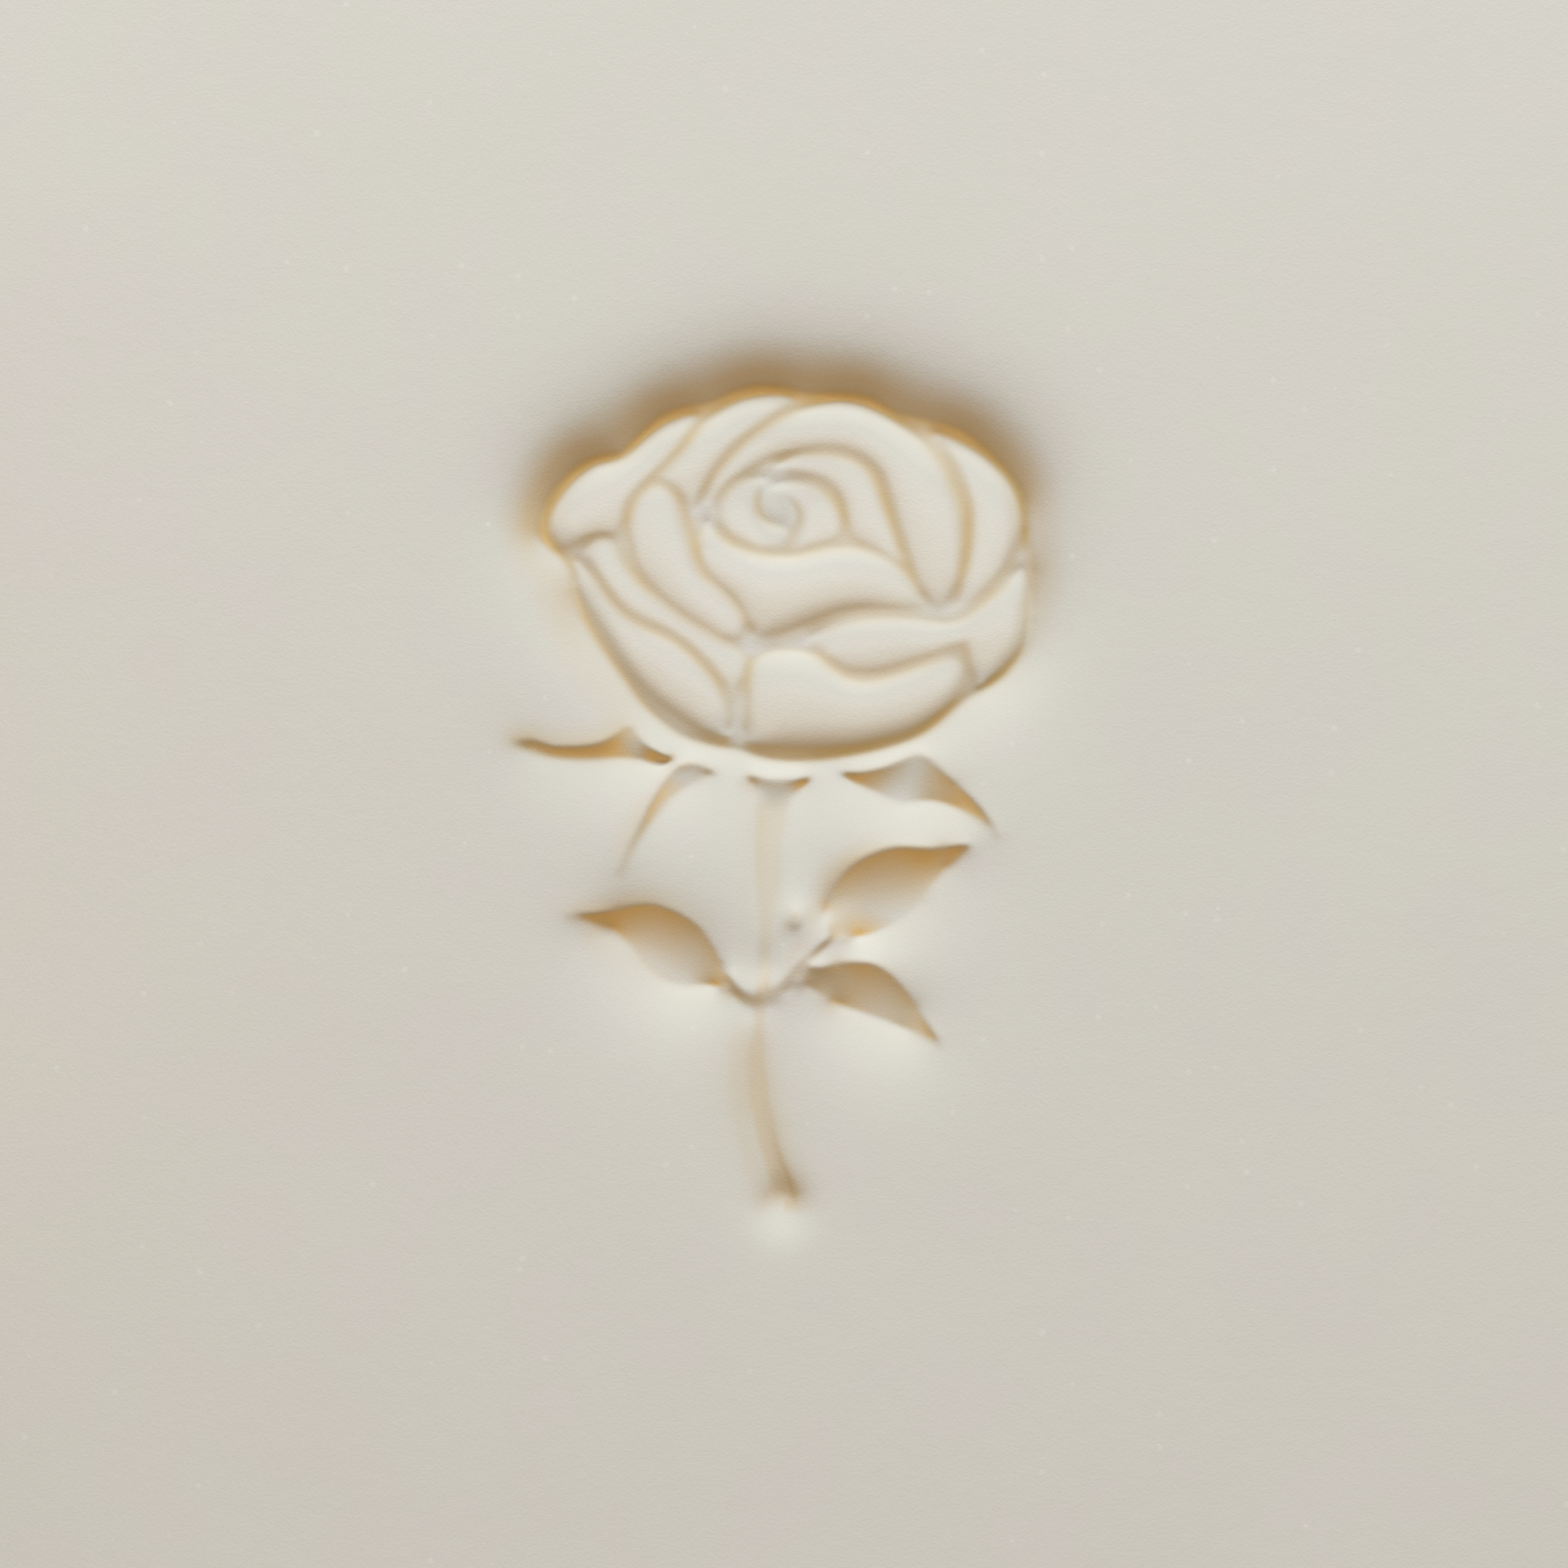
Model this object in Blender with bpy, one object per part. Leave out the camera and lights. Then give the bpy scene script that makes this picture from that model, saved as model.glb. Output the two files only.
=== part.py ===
"""Pottery stamp with a rose die, laid down on the clay slab that carries its mark.

Metres, +Z up, +Y towards the top of the rose. The origin is under the middle of the mark,
on the underside of the slab. The stamp is drawn upright in its own frame, with the tips of
the relief at height 0 and the handle above, and is then laid on the slab at the left.
"""

import math

import bmesh
import bpy

# Sizes of the mark and of the slab
DESIGN_SIZE = 0.045
MARK_DEPTH = 0.002
SLAB_THICKNESS = 0.008
SLAB_LEFT = -0.098
SLAB_RIGHT = 0.050
SLAB_WIDTH = 0.100
SLAB_CORNER_RADIUS = 0.004
SLAB_EDGE_RADIUS = 0.0015
CUTTER_OVERSHOOT = 0.001

# Sizes of the die plate and its relief
RELIEF_HEIGHT = 0.003
PLATE_THICKNESS = 0.003
PLATE_MARGIN = 0.003
PLATE_CORNER_RADIUS = 0.004
PLATE_EDGE_RADIUS = 0.0004
RELIEF_ROOT = 0.0015

# Sizes of the wooden block
BLOCK_OVERHANG = 0.0015
BLOCK_THICKNESS = 0.014
BLOCK_CORNER_RADIUS = 0.005
BLOCK_EDGE_RADIUS = 0.001

# Sizes of the screws that hold the plate
SCREW_INSET = 0.0040
SCREW_HEAD_RADIUS = 0.0020
SCREW_HEAD_RIM = 0.0002
SCREW_HEAD_HEIGHT = 0.0012
SCREW_SHANK_RADIUS = 0.0010
SCREW_LENGTH = 0.009
SCREW_POINT = 0.0012
SCREW_SINK = 0.0002
SLOT_WIDTH = 0.0005
SLOT_DEPTH = 0.0006
slot_turn_degrees = (24.0, 71.0, -38.0, 152.0)

# Sizes of the threaded parts inside the stamp
STUD_RADIUS = 0.003
STUD_START = 0.0075
STUD_LENGTH = 0.040
STUD_CHAMFER = 0.0004
TEE_FLANGE_RADIUS = 0.0078
TEE_FLANGE_THICKNESS = 0.0014
TEE_BARREL_RADIUS = 0.0043
TEE_BARREL_LENGTH = 0.009
INSERT_RADIUS = 0.0046
INSERT_LENGTH = 0.016
STUD_END_CLEARANCE = 0.0010

# Sizes of the washer, the ferrule, the handle and its button
WASHER_RADIUS = 0.0115
WASHER_THICKNESS = 0.0016
WASHER_EDGE_RADIUS = 0.0005
NECK_RADIUS = 0.0076
FERRULE_WALL = 0.0010
FERRULE_LENGTH = 0.009
FERRULE_BEAD = 0.0005
HANDLE_LENGTH = 0.058
HANDLE_RADIUS = 0.014
BUTTON_RADIUS = 0.0050
BUTTON_HEIGHT = 0.0020
BUTTON_RIM = 0.0006
BUTTON_SHANK_RADIUS = 0.0016
BUTTON_SHANK_LENGTH = 0.007

# Clearance left between touching pieces, and where the laid-down stamp is
PIECE_GAP = 0.0003
STAMP_X = -0.072
STEEPEST_TILT = math.radians(45.0)
TILT_ROUNDS = 40

# Fineness of the curves
OUTLINE_STEPS = 2
CORNER_STEPS = 6
EDGE_STEPS = 3
PLATE_EDGE_STEPS = 2
SCREW_STEPS = 20
FITTING_STEPS = 32
HANDLE_STEPS = 36
FILL_SCALE = 1000.0
WELD_DISTANCE = 1e-6
SHARP_ANGLE = math.radians(35.0)

# Colours, with metallic and roughness values
clay_finish = ((0.63, 0.61, 0.56, 1.0), 0.0, 0.85)
resin_finish = ((0.80, 0.74, 0.62, 1.0), 0.0, 0.45)
beech_finish = ((0.60, 0.38, 0.20, 1.0), 0.0, 0.50)
brass_finish = ((0.78, 0.57, 0.26, 1.0), 1.0, 0.30)
steel_finish = ((0.56, 0.57, 0.58, 1.0), 1.0, 0.35)

# Outline of the handle above the neck that the ferrule covers: shares of the length from
# the neck to the end, and shares of the handle's radius
handle_height_shares = (
    0, .020, .045, .075, .110, .170, .255, .350, .445, .540, .640, .725, .805, .885, .945,
    .985, 1.0)
handle_radius_shares = (
    .620, .655, .660, .610, .545, .510, .535, .640, .775, .900, .980, 1.0, .970, .870, .700,
    .500, .400)

# Outlines of the rose as shares of the design size, from the middle of the photo. Each one
# is a list of runs. A run's first point stays a corner and the rest are rounded.
head_shares = [[
    (-.264, .262), (-.278, .282), (-.298, .300), (-.302, .318), (-.293, .350), (-.270, .380),
    (-.242, .401), (-.212, .408), (-.198, .412), (-.178, .433), (-.152, .455), (-.122, .465),
    (-.092, .470), (-.058, .486), (-.020, .492), (.012, .486), (.030, .481), (.070, .483),
    (.108, .476), (.140, .458), (.175, .449), (.215, .438), (.252, .413), (.282, .380),
    (.298, .350), (.301, .320), (.303, .290), (.308, .262), (.309, .235), (.307, .210),
    (.304, .190), (.298, .165), (.287, .149), (.272, .133), (.255, .121), (.239, .113),
    (.223, .103), (.208, .090), (.190, .074), (.165, .058), (.140, .048), (.100, .038),
    (.060, .032), (.020, .028), (-.010, .029), (-.035, .035), (-.055, .042), (-.075, .045),
    (-.100, .050), (-.128, .060), (-.152, .077), (-.174, .097), (-.192, .121), (-.212, .148),
    (-.233, .178), (-.250, .207), (-.259, .235)]]
petal_shares = {
    "outer_left": [[
        (-.107, .455), (-.114, .441), (-.126, .423), (-.149, .396), (-.170, .375), (-.188, .353),
        (-.197, .335), (-.201, .318), (-.208, .309), (-.230, .309), (-.248, .303), (-.262, .294),
        (-.276, .295), (-.288, .309), (-.289, .326), (-.280, .348), (-.260, .374), (-.233, .395),
        (-.207, .398), (-.190, .408), (-.170, .427), (-.150, .443), (-.125, .454)]],
    "top_left": [
        [(-.156, .379), (-.140, .394), (-.117, .419), (-.100, .444), (-.083, .458),
         (-.055, .474), (-.020, .481), (.005, .479)],
        [(.014, .474), (-.014, .456), (-.044, .435), (-.070, .410), (-.092, .381), (-.104, .353)],
        [(-.112, .329), (-.120, .346), (-.132, .364)]],
    "left_tall": [[
        (-.157, .368), (-.173, .360), (-.184, .345), (-.190, .325), (-.191, .303), (-.183, .274),
        (-.168, .250), (-.148, .229), (-.128, .213), (-.103, .198), (-.078, .184), (-.060, .180),
        (-.048, .186), (-.050, .200), (-.060, .217), (-.080, .238), (-.097, .252), (-.108, .272),
        (-.115, .297), (-.121, .325), (-.131, .347), (-.144, .363)]],
    "left_narrow": [
        [(-.246, .287), (-.235, .298), (-.222, .301), (-.210, .297), (-.203, .282),
         (-.192, .262), (-.175, .243), (-.150, .222), (-.125, .203), (-.100, .188),
         (-.075, .174), (-.052, .164), (-.046, .152), (-.050, .133)],
        [(-.063, .106), (-.078, .131), (-.097, .153), (-.120, .175), (-.150, .193),
         (-.180, .206), (-.204, .226), (-.228, .259)]],
    "left_low": [
        [(-.256, .278), (-.238, .256), (-.218, .228), (-.197, .206), (-.168, .189),
         (-.138, .175), (-.112, .155), (-.090, .131), (-.074, .108), (-.066, .082)],
        [(-.070, .058), (-.100, .067), (-.130, .085), (-.160, .107), (-.180, .128),
         (-.200, .154), (-.220, .185), (-.240, .215), (-.256, .250)]],
    "bottom": [[
        (-.044, .052), (-.046, .080), (-.045, .115), (-.041, .140), (-.033, .157), (-.010, .166),
        (.020, .165), (.040, .158), (.058, .143), (.080, .129), (.105, .126), (.135, .133),
        (.170, .145), (.200, .153), (.215, .151), (.221, .138), (.219, .119), (.205, .100),
        (.185, .084), (.160, .069), (.125, .057), (.085, .048), (.040, .045), (0, .046)]],
    "arch": [[
        (.190, .218), (.178, .228), (.163, .256), (.152, .285), (.141, .318), (.131, .352),
        (.119, .382), (.100, .401), (.075, .412), (.040, .415), (0, .409), (-.035, .394),
        (-.068, .374), (-.086, .354), (-.095, .343), (-.094, .358), (-.079, .386), (-.048, .419),
        (-.018, .441), (.020, .462), (.065, .473), (.100, .467), (.140, .446), (.170, .424),
        (.194, .395), (.210, .362), (.220, .330), (.220, .290), (.212, .247), (.202, .226)]],
    "inner_crescent": [
        [(-.012, .391), (.010, .4025), (.045, .405), (.080, .400), (.107, .380), (.121, .345),
         (.135, .308)],
        [(.147, .271), (.118, .286), (.093, .299), (.081, .312), (.078, .332), (.069, .356),
         (.050, .375), (.020, .385)]],
    "front": [
        [(-.094, .325), (-.082, .309), (-.060, .292), (-.022, .281), (.020, .282), (.050, .289),
         (.080, .292), (.110, .284), (.140, .268), (.158, .248)],
        [(.175, .222), (.150, .217), (.110, .218), (.075, .214), (.045, .205), (.010, .191)],
        [(-.034, .181), (-.046, .205), (-.065, .231), (-.090, .255), (-.103, .280),
         (-.104, .306)]],
    "bud_right": [
        [(-.017, .366), (.005, .3735), (.030, .370), (.050, .358), (.066, .338), (.071, .315),
         (.062, .301), (.040, .296)],
        [(.010, .290), (.014, .308), (.022, .326), (.015, .345), (-.003, .356)]],
    "bud_left": [[
        (-.023, .378), (-.028, .365), (-.033, .348), (-.029, .330), (-.012, .321), (.004, .315),
        (.005, .303), (-.003, .293), (-.030, .291), (-.059, .303), (-.078, .322), (-.082, .338),
        (-.070, .360), (-.050, .374)]],
    "right_outer": [
        [(.184, .434), (.205, .428), (.235, .413), (.262, .391), (.282, .366), (.292, .335),
         (.292, .308), (.282, .283), (.262, .255), (.237, .230)],
        [(.213, .213), (.219, .243), (.228, .273), (.232, .310), (.230, .348), (.215, .388),
         (.198, .415)]],
    "right_low": [
        [(.030, .180), (.058, .192), (.085, .201), (.120, .2045), (.160, .204), (.195, .1995),
         (.220, .204), (.245, .222), (.270, .243)],
        [(.293, .268), (.299, .250), (.301, .220), (.299, .192), (.290, .168), (.272, .146),
         (.255, .131)],
        [(.241, .121), (.234, .133), (.228, .152)],
        [(.224, .173), (.200, .166), (.165, .154), (.130, .142), (.100, .138), (.075, .143),
         (.055, .157)]],
}
outer_shares = {
    "left_horn": [
        [(-.332, .052), (-.310, .054), (-.285, .046), (-.255, .045), (-.225, .050), (-.205, .061)],
        [(-.190, .071), (-.178, .058), (-.162, .043)],
        [(-.137, .030), (-.150, .027), (-.180, .030), (-.210, .033), (-.250, .032), (-.290, .034),
         (-.318, .042)]],
    "left_crescent": [
        [(-.084, .014), (-.100, .007), (-.120, -.003), (-.140, -.018), (-.157, -.038),
         (-.175, -.063), (-.190, -.087)],
        [(-.204, -.112), (-.195, -.088), (-.180, -.058), (-.164, -.026), (-.152, -.004),
         (-.143, .010), (-.130, .022), (-.112, .025), (-.096, .021)]],
    "right_sepal": [
        [(.066, .014), (.090, .014), (.115, .019), (.140, .028)],
        [(.163, .038), (.180, .031), (.200, .012), (.222, -.009), (.243, -.032)],
        [(.263, -.062), (.245, -.047), (.225, -.035), (.200, -.024), (.175, -.021)],
        [(.147, -.025), (.125, -.017), (.100, -.003), (.082, .007)]],
    "stem_and_leaves": [
        [(-.043, .011), (-.020, .005), (.008, .005)],
        [(.033, .009), (.016, -.010), (.006, -.027), (.001, -.050), (-.002, -.090),
         (-.006, -.130), (-.012, -.165), (-.017, -.200), (-.019, -.235)],
        [(-.017, -.251), (-.002, -.240), (.012, -.224), (.026, -.211), (.042, -.199)],
        [(.055, -.187), (.053, -.165), (.054, -.148), (.060, -.128), (.072, -.110),
         (.090, -.095), (.115, -.083), (.140, -.077), (.180, -.079)],
        [(.226, -.074), (.212, -.090), (.197, -.105), (.185, -.123), (.172, -.144),
         (.152, -.163), (.130, -.176), (.105, -.186), (.080, -.189)],
        [(.062, -.190), (.050, -.201), (.038, -.213)],
        [(.030, -.222), (.045, -.225), (.065, -.220), (.090, -.218), (.112, -.221),
         (.135, -.237), (.155, -.261), (.172, -.288)],
        [(.192, -.319), (.170, -.310), (.145, -.300), (.115, -.289), (.085, -.278),
         (.055, -.265), (.035, -.251)],
        [(.019, -.239), (.005, -.252), (-.010, -.263)],
        [(-.021, -.275), (-.025, -.290), (-.024, -.330), (-.024, -.380), (-.019, -.415),
         (-.010, -.452), (.001, -.481)],
        [(.017, -.506), (.002, -.504)],
        [(-.019, -.510), (-.021, -.490), (-.028, -.462), (-.036, -.420), (-.041, -.375),
         (-.041, -.330), (-.039, -.302), (-.036, -.287)],
        [(-.041, -.277), (-.050, -.267), (-.062, -.257), (-.078, -.249), (-.100, -.248),
         (-.125, -.249), (-.148, -.243), (-.166, -.230), (-.183, -.211), (-.197, -.192),
         (-.212, -.177), (-.238, -.167)],
        [(-.268, -.158), (-.240, -.1595), (-.215, -.157), (-.190, -.150), (-.165, -.147),
         (-.140, -.154), (-.117, -.166), (-.100, -.181), (-.085, -.203), (-.074, -.224),
         (-.062, -.241), (-.050, -.254)],
        [(-.034, -.260), (-.028, -.220), (-.025, -.180), (-.024, -.130), (-.025, -.090),
         (-.026, -.055), (-.028, -.030), (-.033, -.012)]],
    "thorn": [[(.013, -.154), (.008, -.164), (.013, -.174), (.018, -.164)]],
}


def smooth_outline(runs):
    """Closed outline through the points of the runs, as a list of pairs."""
    points = []
    closed = len(runs) == 1
    for index, run in enumerate(runs):
        knots = run + [runs[(index + 1) % len(runs)][0]]
        for k, (start, end) in enumerate(zip(knots, knots[1:])):
            before = knots[k - 1] if k else (run[-1] if closed else start)
            after = knots[k + 2] if k + 2 < len(knots) else (run[1] if closed else end)
            for step in range(OUTLINE_STEPS):
                t = step / OUTLINE_STEPS
                weights = (2 * t ** 3 - 3 * t ** 2 + 1, 3 * t ** 2 - 2 * t ** 3,
                           (t ** 3 - 2 * t ** 2 + t) / 2, (t ** 3 - t ** 2) / 2)
                points.append(tuple(
                    weights[0] * start[i] + weights[1] * end[i]
                    + weights[2] * (end[i] - before[i]) + weights[3] * (after[i] - start[i])
                    for i in (0, 1)))
    return points


def raise_faces(bm, height):
    """Extrude every face of a flat sheet upwards into a closed body."""
    raised = bmesh.ops.extrude_face_region(bm, geom=bm.faces[:])
    tops = [item for item in raised["geom"] if isinstance(item, bmesh.types.BMVert)]
    bmesh.ops.translate(bm, verts=tops, vec=(0.0, 0.0, height))
    bmesh.ops.recalc_face_normals(bm, faces=bm.faces[:])


def filled_prism(outlines, low, high):
    """Closed bodies between two heights, filled inside the outlines and open in their holes."""
    bm = bmesh.new()
    edges = []
    for outline in outlines:
        ring = [bm.verts.new((x * FILL_SCALE, y * FILL_SCALE, 0.0)) for x, y in outline]
        edges += [bm.edges.new((ring[k - 1], ring[k])) for k in range(len(ring))]
    bmesh.ops.triangle_fill(bm, edges=edges, use_beauty=True, use_dissolve=False)
    scale = DESIGN_SIZE / FILL_SCALE
    bmesh.ops.scale(bm, vec=(scale, scale, 1.0), verts=bm.verts[:])
    bmesh.ops.translate(bm, vec=(0.0, 0.0, low), verts=bm.verts[:])
    raise_faces(bm, high - low)
    return bm


def rounded_plate(size, centre, corner_radius, low, high, edge_radius, edge_steps):
    """Rectangular plate with round corners and rounded rims."""
    bm = bmesh.new()
    ring = []
    for sign_x, sign_y, start in ((1, 1, 0), (-1, 1, 1), (-1, -1, 2), (1, -1, 3)):
        for k in range(CORNER_STEPS + 1):
            turn = (start + k / CORNER_STEPS) * math.pi / 2
            x = centre[0] + sign_x * (size[0] / 2 - corner_radius)
            y = centre[1] + sign_y * (size[1] / 2 - corner_radius)
            x += corner_radius * math.cos(turn)
            y += corner_radius * math.sin(turn)
            ring.append(bm.verts.new((x, y, low)))
    bm.faces.new(ring)
    raise_faces(bm, high - low)
    middle = (low + high) / 2
    rims = [edge for edge in bm.edges
            if (edge.verts[0].co.z > middle) == (edge.verts[1].co.z > middle)]
    bmesh.ops.bevel(bm, geom=rims, offset=edge_radius, offset_type="OFFSET",
                    segments=edge_steps, profile=0.5, affect="EDGES", material=-1)
    return bm


def turned(profile, steps, closed=False):
    """Body of revolution about the upright axis from (radius, height) pairs."""
    bm = bmesh.new()
    verts = [bm.verts.new((radius, 0.0, height)) for radius, height in profile]
    edges = [bm.edges.new(pair) for pair in zip(verts, verts[1:])]
    if closed:
        edges.append(bm.edges.new((verts[-1], verts[0])))
    bmesh.ops.spin(bm, geom=verts + edges, cent=(0.0, 0.0, 0.0), axis=(0.0, 0.0, 1.0),
                   angle=math.tau, steps=steps, use_merge=True)
    bmesh.ops.remove_doubles(bm, verts=bm.verts[:], dist=WELD_DISTANCE)
    bmesh.ops.recalc_face_normals(bm, faces=bm.faces[:])
    return bm


def add_piece(name, bm, finish=None, carrier=None, place=(0.0, 0.0, 0.0), turn=0.0):
    """Named object from a mesh, carried by an empty and coloured, or a cutter with no finish."""
    mesh = bpy.data.meshes.new(name)
    bm.to_mesh(mesh)
    bm.free()
    piece = bpy.data.objects.new(name, mesh)
    bpy.context.scene.collection.objects.link(piece)
    piece.parent = carrier
    piece.location = place
    piece.rotation_euler.z = turn
    if finish is None:
        piece.hide_render = True
        piece.display_type = "WIRE"
        return piece
    mesh.polygons.foreach_set("use_smooth", [True] * len(mesh.polygons))
    mesh.set_sharp_from_angle(angle=SHARP_ANGLE)
    material = bpy.data.materials.new(name)
    material.use_nodes = True
    shader = material.node_tree.nodes["Principled BSDF"]
    for socket, value in zip(("Base Color", "Metallic", "Roughness"), finish):
        shader.inputs[socket].default_value = value
    mesh.materials.append(material)
    return piece


def join_by_boolean(piece, other, operation):
    """Exact boolean of one object with another."""
    modifier = piece.modifiers.new(other.name, "BOOLEAN")
    modifier.object = other
    modifier.operation = operation
    modifier.solver = "EXACT"


for leftover in list(bpy.data.objects):
    bpy.data.objects.remove(leftover, do_unlink=True)

# Heights of the pieces in the stamp's own frame, from the tips of the relief upwards
plate_low = RELIEF_HEIGHT
plate_high = plate_low + PLATE_THICKNESS
block_low = plate_high + PIECE_GAP
block_high = block_low + BLOCK_THICKNESS
washer_low = block_high + PIECE_GAP
washer_high = washer_low + WASHER_THICKNESS
handle_low = washer_high + PIECE_GAP
handle_high = handle_low + HANDLE_LENGTH
button_low = handle_high + PIECE_GAP

# The rose: its head with the petals left out, then the sepals, the leaves and the stem
rose_outlines = [smooth_outline(head_shares)]
rose_outlines += [smooth_outline(runs) for runs in petal_shares.values()]
rose_outlines += [smooth_outline(runs) for runs in outer_shares.values()]
rose_x = [x * DESIGN_SIZE for outline in rose_outlines for x, y in outline]
rose_y = [y * DESIGN_SIZE for outline in rose_outlines for x, y in outline]
rose_centre = ((min(rose_x) + max(rose_x)) / 2, (min(rose_y) + max(rose_y)) / 2)
plate_size = (max(rose_x) - min(rose_x) + 2 * PLATE_MARGIN,
              max(rose_y) - min(rose_y) + 2 * PLATE_MARGIN)
block_size = tuple(side + 2 * BLOCK_OVERHANG for side in plate_size)

# Handle: neck inside the ferrule, then waist, bulge and flat end
ferrule_high = handle_low + FERRULE_LENGTH
neck_high = ferrule_high + PIECE_GAP
handle_profile = [(0.0, handle_low), (NECK_RADIUS, handle_low), (NECK_RADIUS, neck_high)]
handle_profile += [(r * HANDLE_RADIUS, neck_high + h * (handle_high - neck_high))
                   for h, r in zip(handle_height_shares, handle_radius_shares)]
handle_profile.append((0.0, handle_high))

# Laid down, the stamp rests on the rounded back rim of the block and on the bulge. The
# tilt is where both are level, found by halving.
rim_across = rose_centre[1] - block_size[1] / 2 + BLOCK_EDGE_RADIUS
rim_along = block_high - BLOCK_EDGE_RADIUS


def block_depth(tilt):
    return BLOCK_EDGE_RADIUS - rim_across * math.cos(tilt) + rim_along * math.sin(tilt)


def handle_depth(tilt):
    axis = rose_centre[1]
    return max((r - axis) * math.cos(tilt) + h * math.sin(tilt) for r, h in handle_profile)


least, most = 0.0, STEEPEST_TILT
for _ in range(TILT_ROUNDS):
    stamp_tilt = (least + most) / 2
    if handle_depth(stamp_tilt) < block_depth(stamp_tilt):
        least = stamp_tilt
    else:
        most = stamp_tilt
stamp = bpy.data.objects.new("stamp", None)
bpy.context.scene.collection.objects.link(stamp)
stamp.location = (STAMP_X, -math.cos(stamp_tilt) * (button_low + BUTTON_HEIGHT) / 2,
                  SLAB_THICKNESS + PIECE_GAP + block_depth(stamp_tilt))
stamp.rotation_euler = (math.pi / 2 + stamp_tilt, 0.0, math.pi)
handle_axis = (rose_centre[0], rose_centre[1], 0.0)

# Slab of clay, with the rose cut into its top face
slab = add_piece(
    "clay_slab",
    rounded_plate((SLAB_RIGHT - SLAB_LEFT, SLAB_WIDTH), ((SLAB_LEFT + SLAB_RIGHT) / 2, 0.0),
                  SLAB_CORNER_RADIUS, 0.0, SLAB_THICKNESS, SLAB_EDGE_RADIUS, EDGE_STEPS),
    clay_finish)
mark_cutter = add_piece(
    "mark_cutter",
    filled_prism(rose_outlines, SLAB_THICKNESS - MARK_DEPTH, SLAB_THICKNESS + CUTTER_OVERSHOOT))
join_by_boolean(slab, mark_cutter, "DIFFERENCE")

# Die: a plate with the raised rose
die = add_piece(
    "rose_die",
    rounded_plate(plate_size, rose_centre, PLATE_CORNER_RADIUS, plate_low, plate_high,
                  PLATE_EDGE_RADIUS, PLATE_EDGE_STEPS),
    resin_finish, stamp)
relief = add_piece("relief", filled_prism(rose_outlines, 0.0, plate_low + RELIEF_ROOT),
                   carrier=stamp)
join_by_boolean(die, relief, "UNION")

# Block behind the plate, with a recess for the tee nut and a hole for the stud
block = add_piece(
    "mount_block",
    rounded_plate(block_size, rose_centre, BLOCK_CORNER_RADIUS, block_low, block_high,
                  BLOCK_EDGE_RADIUS, EDGE_STEPS),
    beech_finish, stamp)
tee_low = block_low + PIECE_GAP
tee_seat = tee_low + TEE_FLANGE_THICKNESS + PIECE_GAP
tee_hole = TEE_BARREL_RADIUS + PIECE_GAP
block_bore = add_piece(
    "block_bore",
    turned([(0.0, block_low - CUTTER_OVERSHOOT),
            (TEE_FLANGE_RADIUS + PIECE_GAP, block_low - CUTTER_OVERSHOOT),
            (TEE_FLANGE_RADIUS + PIECE_GAP, tee_seat), (tee_hole, tee_seat),
            (tee_hole, block_high + CUTTER_OVERSHOOT), (0.0, block_high + CUTTER_OVERSHOOT)],
           FITTING_STEPS),
    carrier=stamp, place=handle_axis)
join_by_boolean(block, block_bore, "DIFFERENCE")

# Screws through the plate's corners, each with a slot turned its own way
screw_low = plate_low + SCREW_SINK
head_end = screw_low + SCREW_HEAD_HEIGHT
screw_end = screw_low + SCREW_LENGTH
screw_profile = [
    (0.0, screw_low), (SCREW_HEAD_RADIUS, screw_low),
    (SCREW_HEAD_RADIUS, screw_low + SCREW_HEAD_RIM), (SCREW_SHANK_RADIUS, head_end),
    (SCREW_SHANK_RADIUS, screw_end - SCREW_POINT), (0.0, screw_end)]
hole_profile = [
    (0.0, plate_low - CUTTER_OVERSHOOT),
    (SCREW_HEAD_RADIUS + PIECE_GAP, plate_low - CUTTER_OVERSHOOT),
    (SCREW_HEAD_RADIUS + PIECE_GAP, screw_low + SCREW_HEAD_RIM + PIECE_GAP),
    (SCREW_SHANK_RADIUS + PIECE_GAP, head_end + PIECE_GAP),
    (SCREW_SHANK_RADIUS + PIECE_GAP, screw_end + PIECE_GAP), (0.0, screw_end + PIECE_GAP)]
corners = ((-1, 1), (1, 1), (-1, -1), (1, -1))
for number, (side, turn) in enumerate(zip(corners, slot_turn_degrees), start=1):
    spot = (rose_centre[0] + side[0] * (plate_size[0] / 2 - SCREW_INSET),
            rose_centre[1] + side[1] * (plate_size[1] / 2 - SCREW_INSET), 0.0)
    screw = add_piece(f"die_screw_{number}", turned(screw_profile, SCREW_STEPS), brass_finish,
                      stamp, spot)
    slot = bmesh.new()
    bmesh.ops.create_cube(slot, size=1.0)
    bmesh.ops.scale(slot, vec=(3 * SCREW_HEAD_RADIUS, SLOT_WIDTH, 2 * SLOT_DEPTH),
                    verts=slot.verts[:])
    bmesh.ops.translate(slot, vec=(0.0, 0.0, screw_low), verts=slot.verts[:])
    slot_cutter = add_piece(f"slot_cutter_{number}", slot, carrier=stamp, place=spot,
                            turn=math.radians(turn))
    join_by_boolean(screw, slot_cutter, "DIFFERENCE")
    screw_hole = add_piece(f"screw_hole_{number}", turned(hole_profile, SCREW_STEPS),
                           carrier=stamp, place=spot)
    join_by_boolean(die, screw_hole, "DIFFERENCE")
    join_by_boolean(block, screw_hole, "DIFFERENCE")

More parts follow.
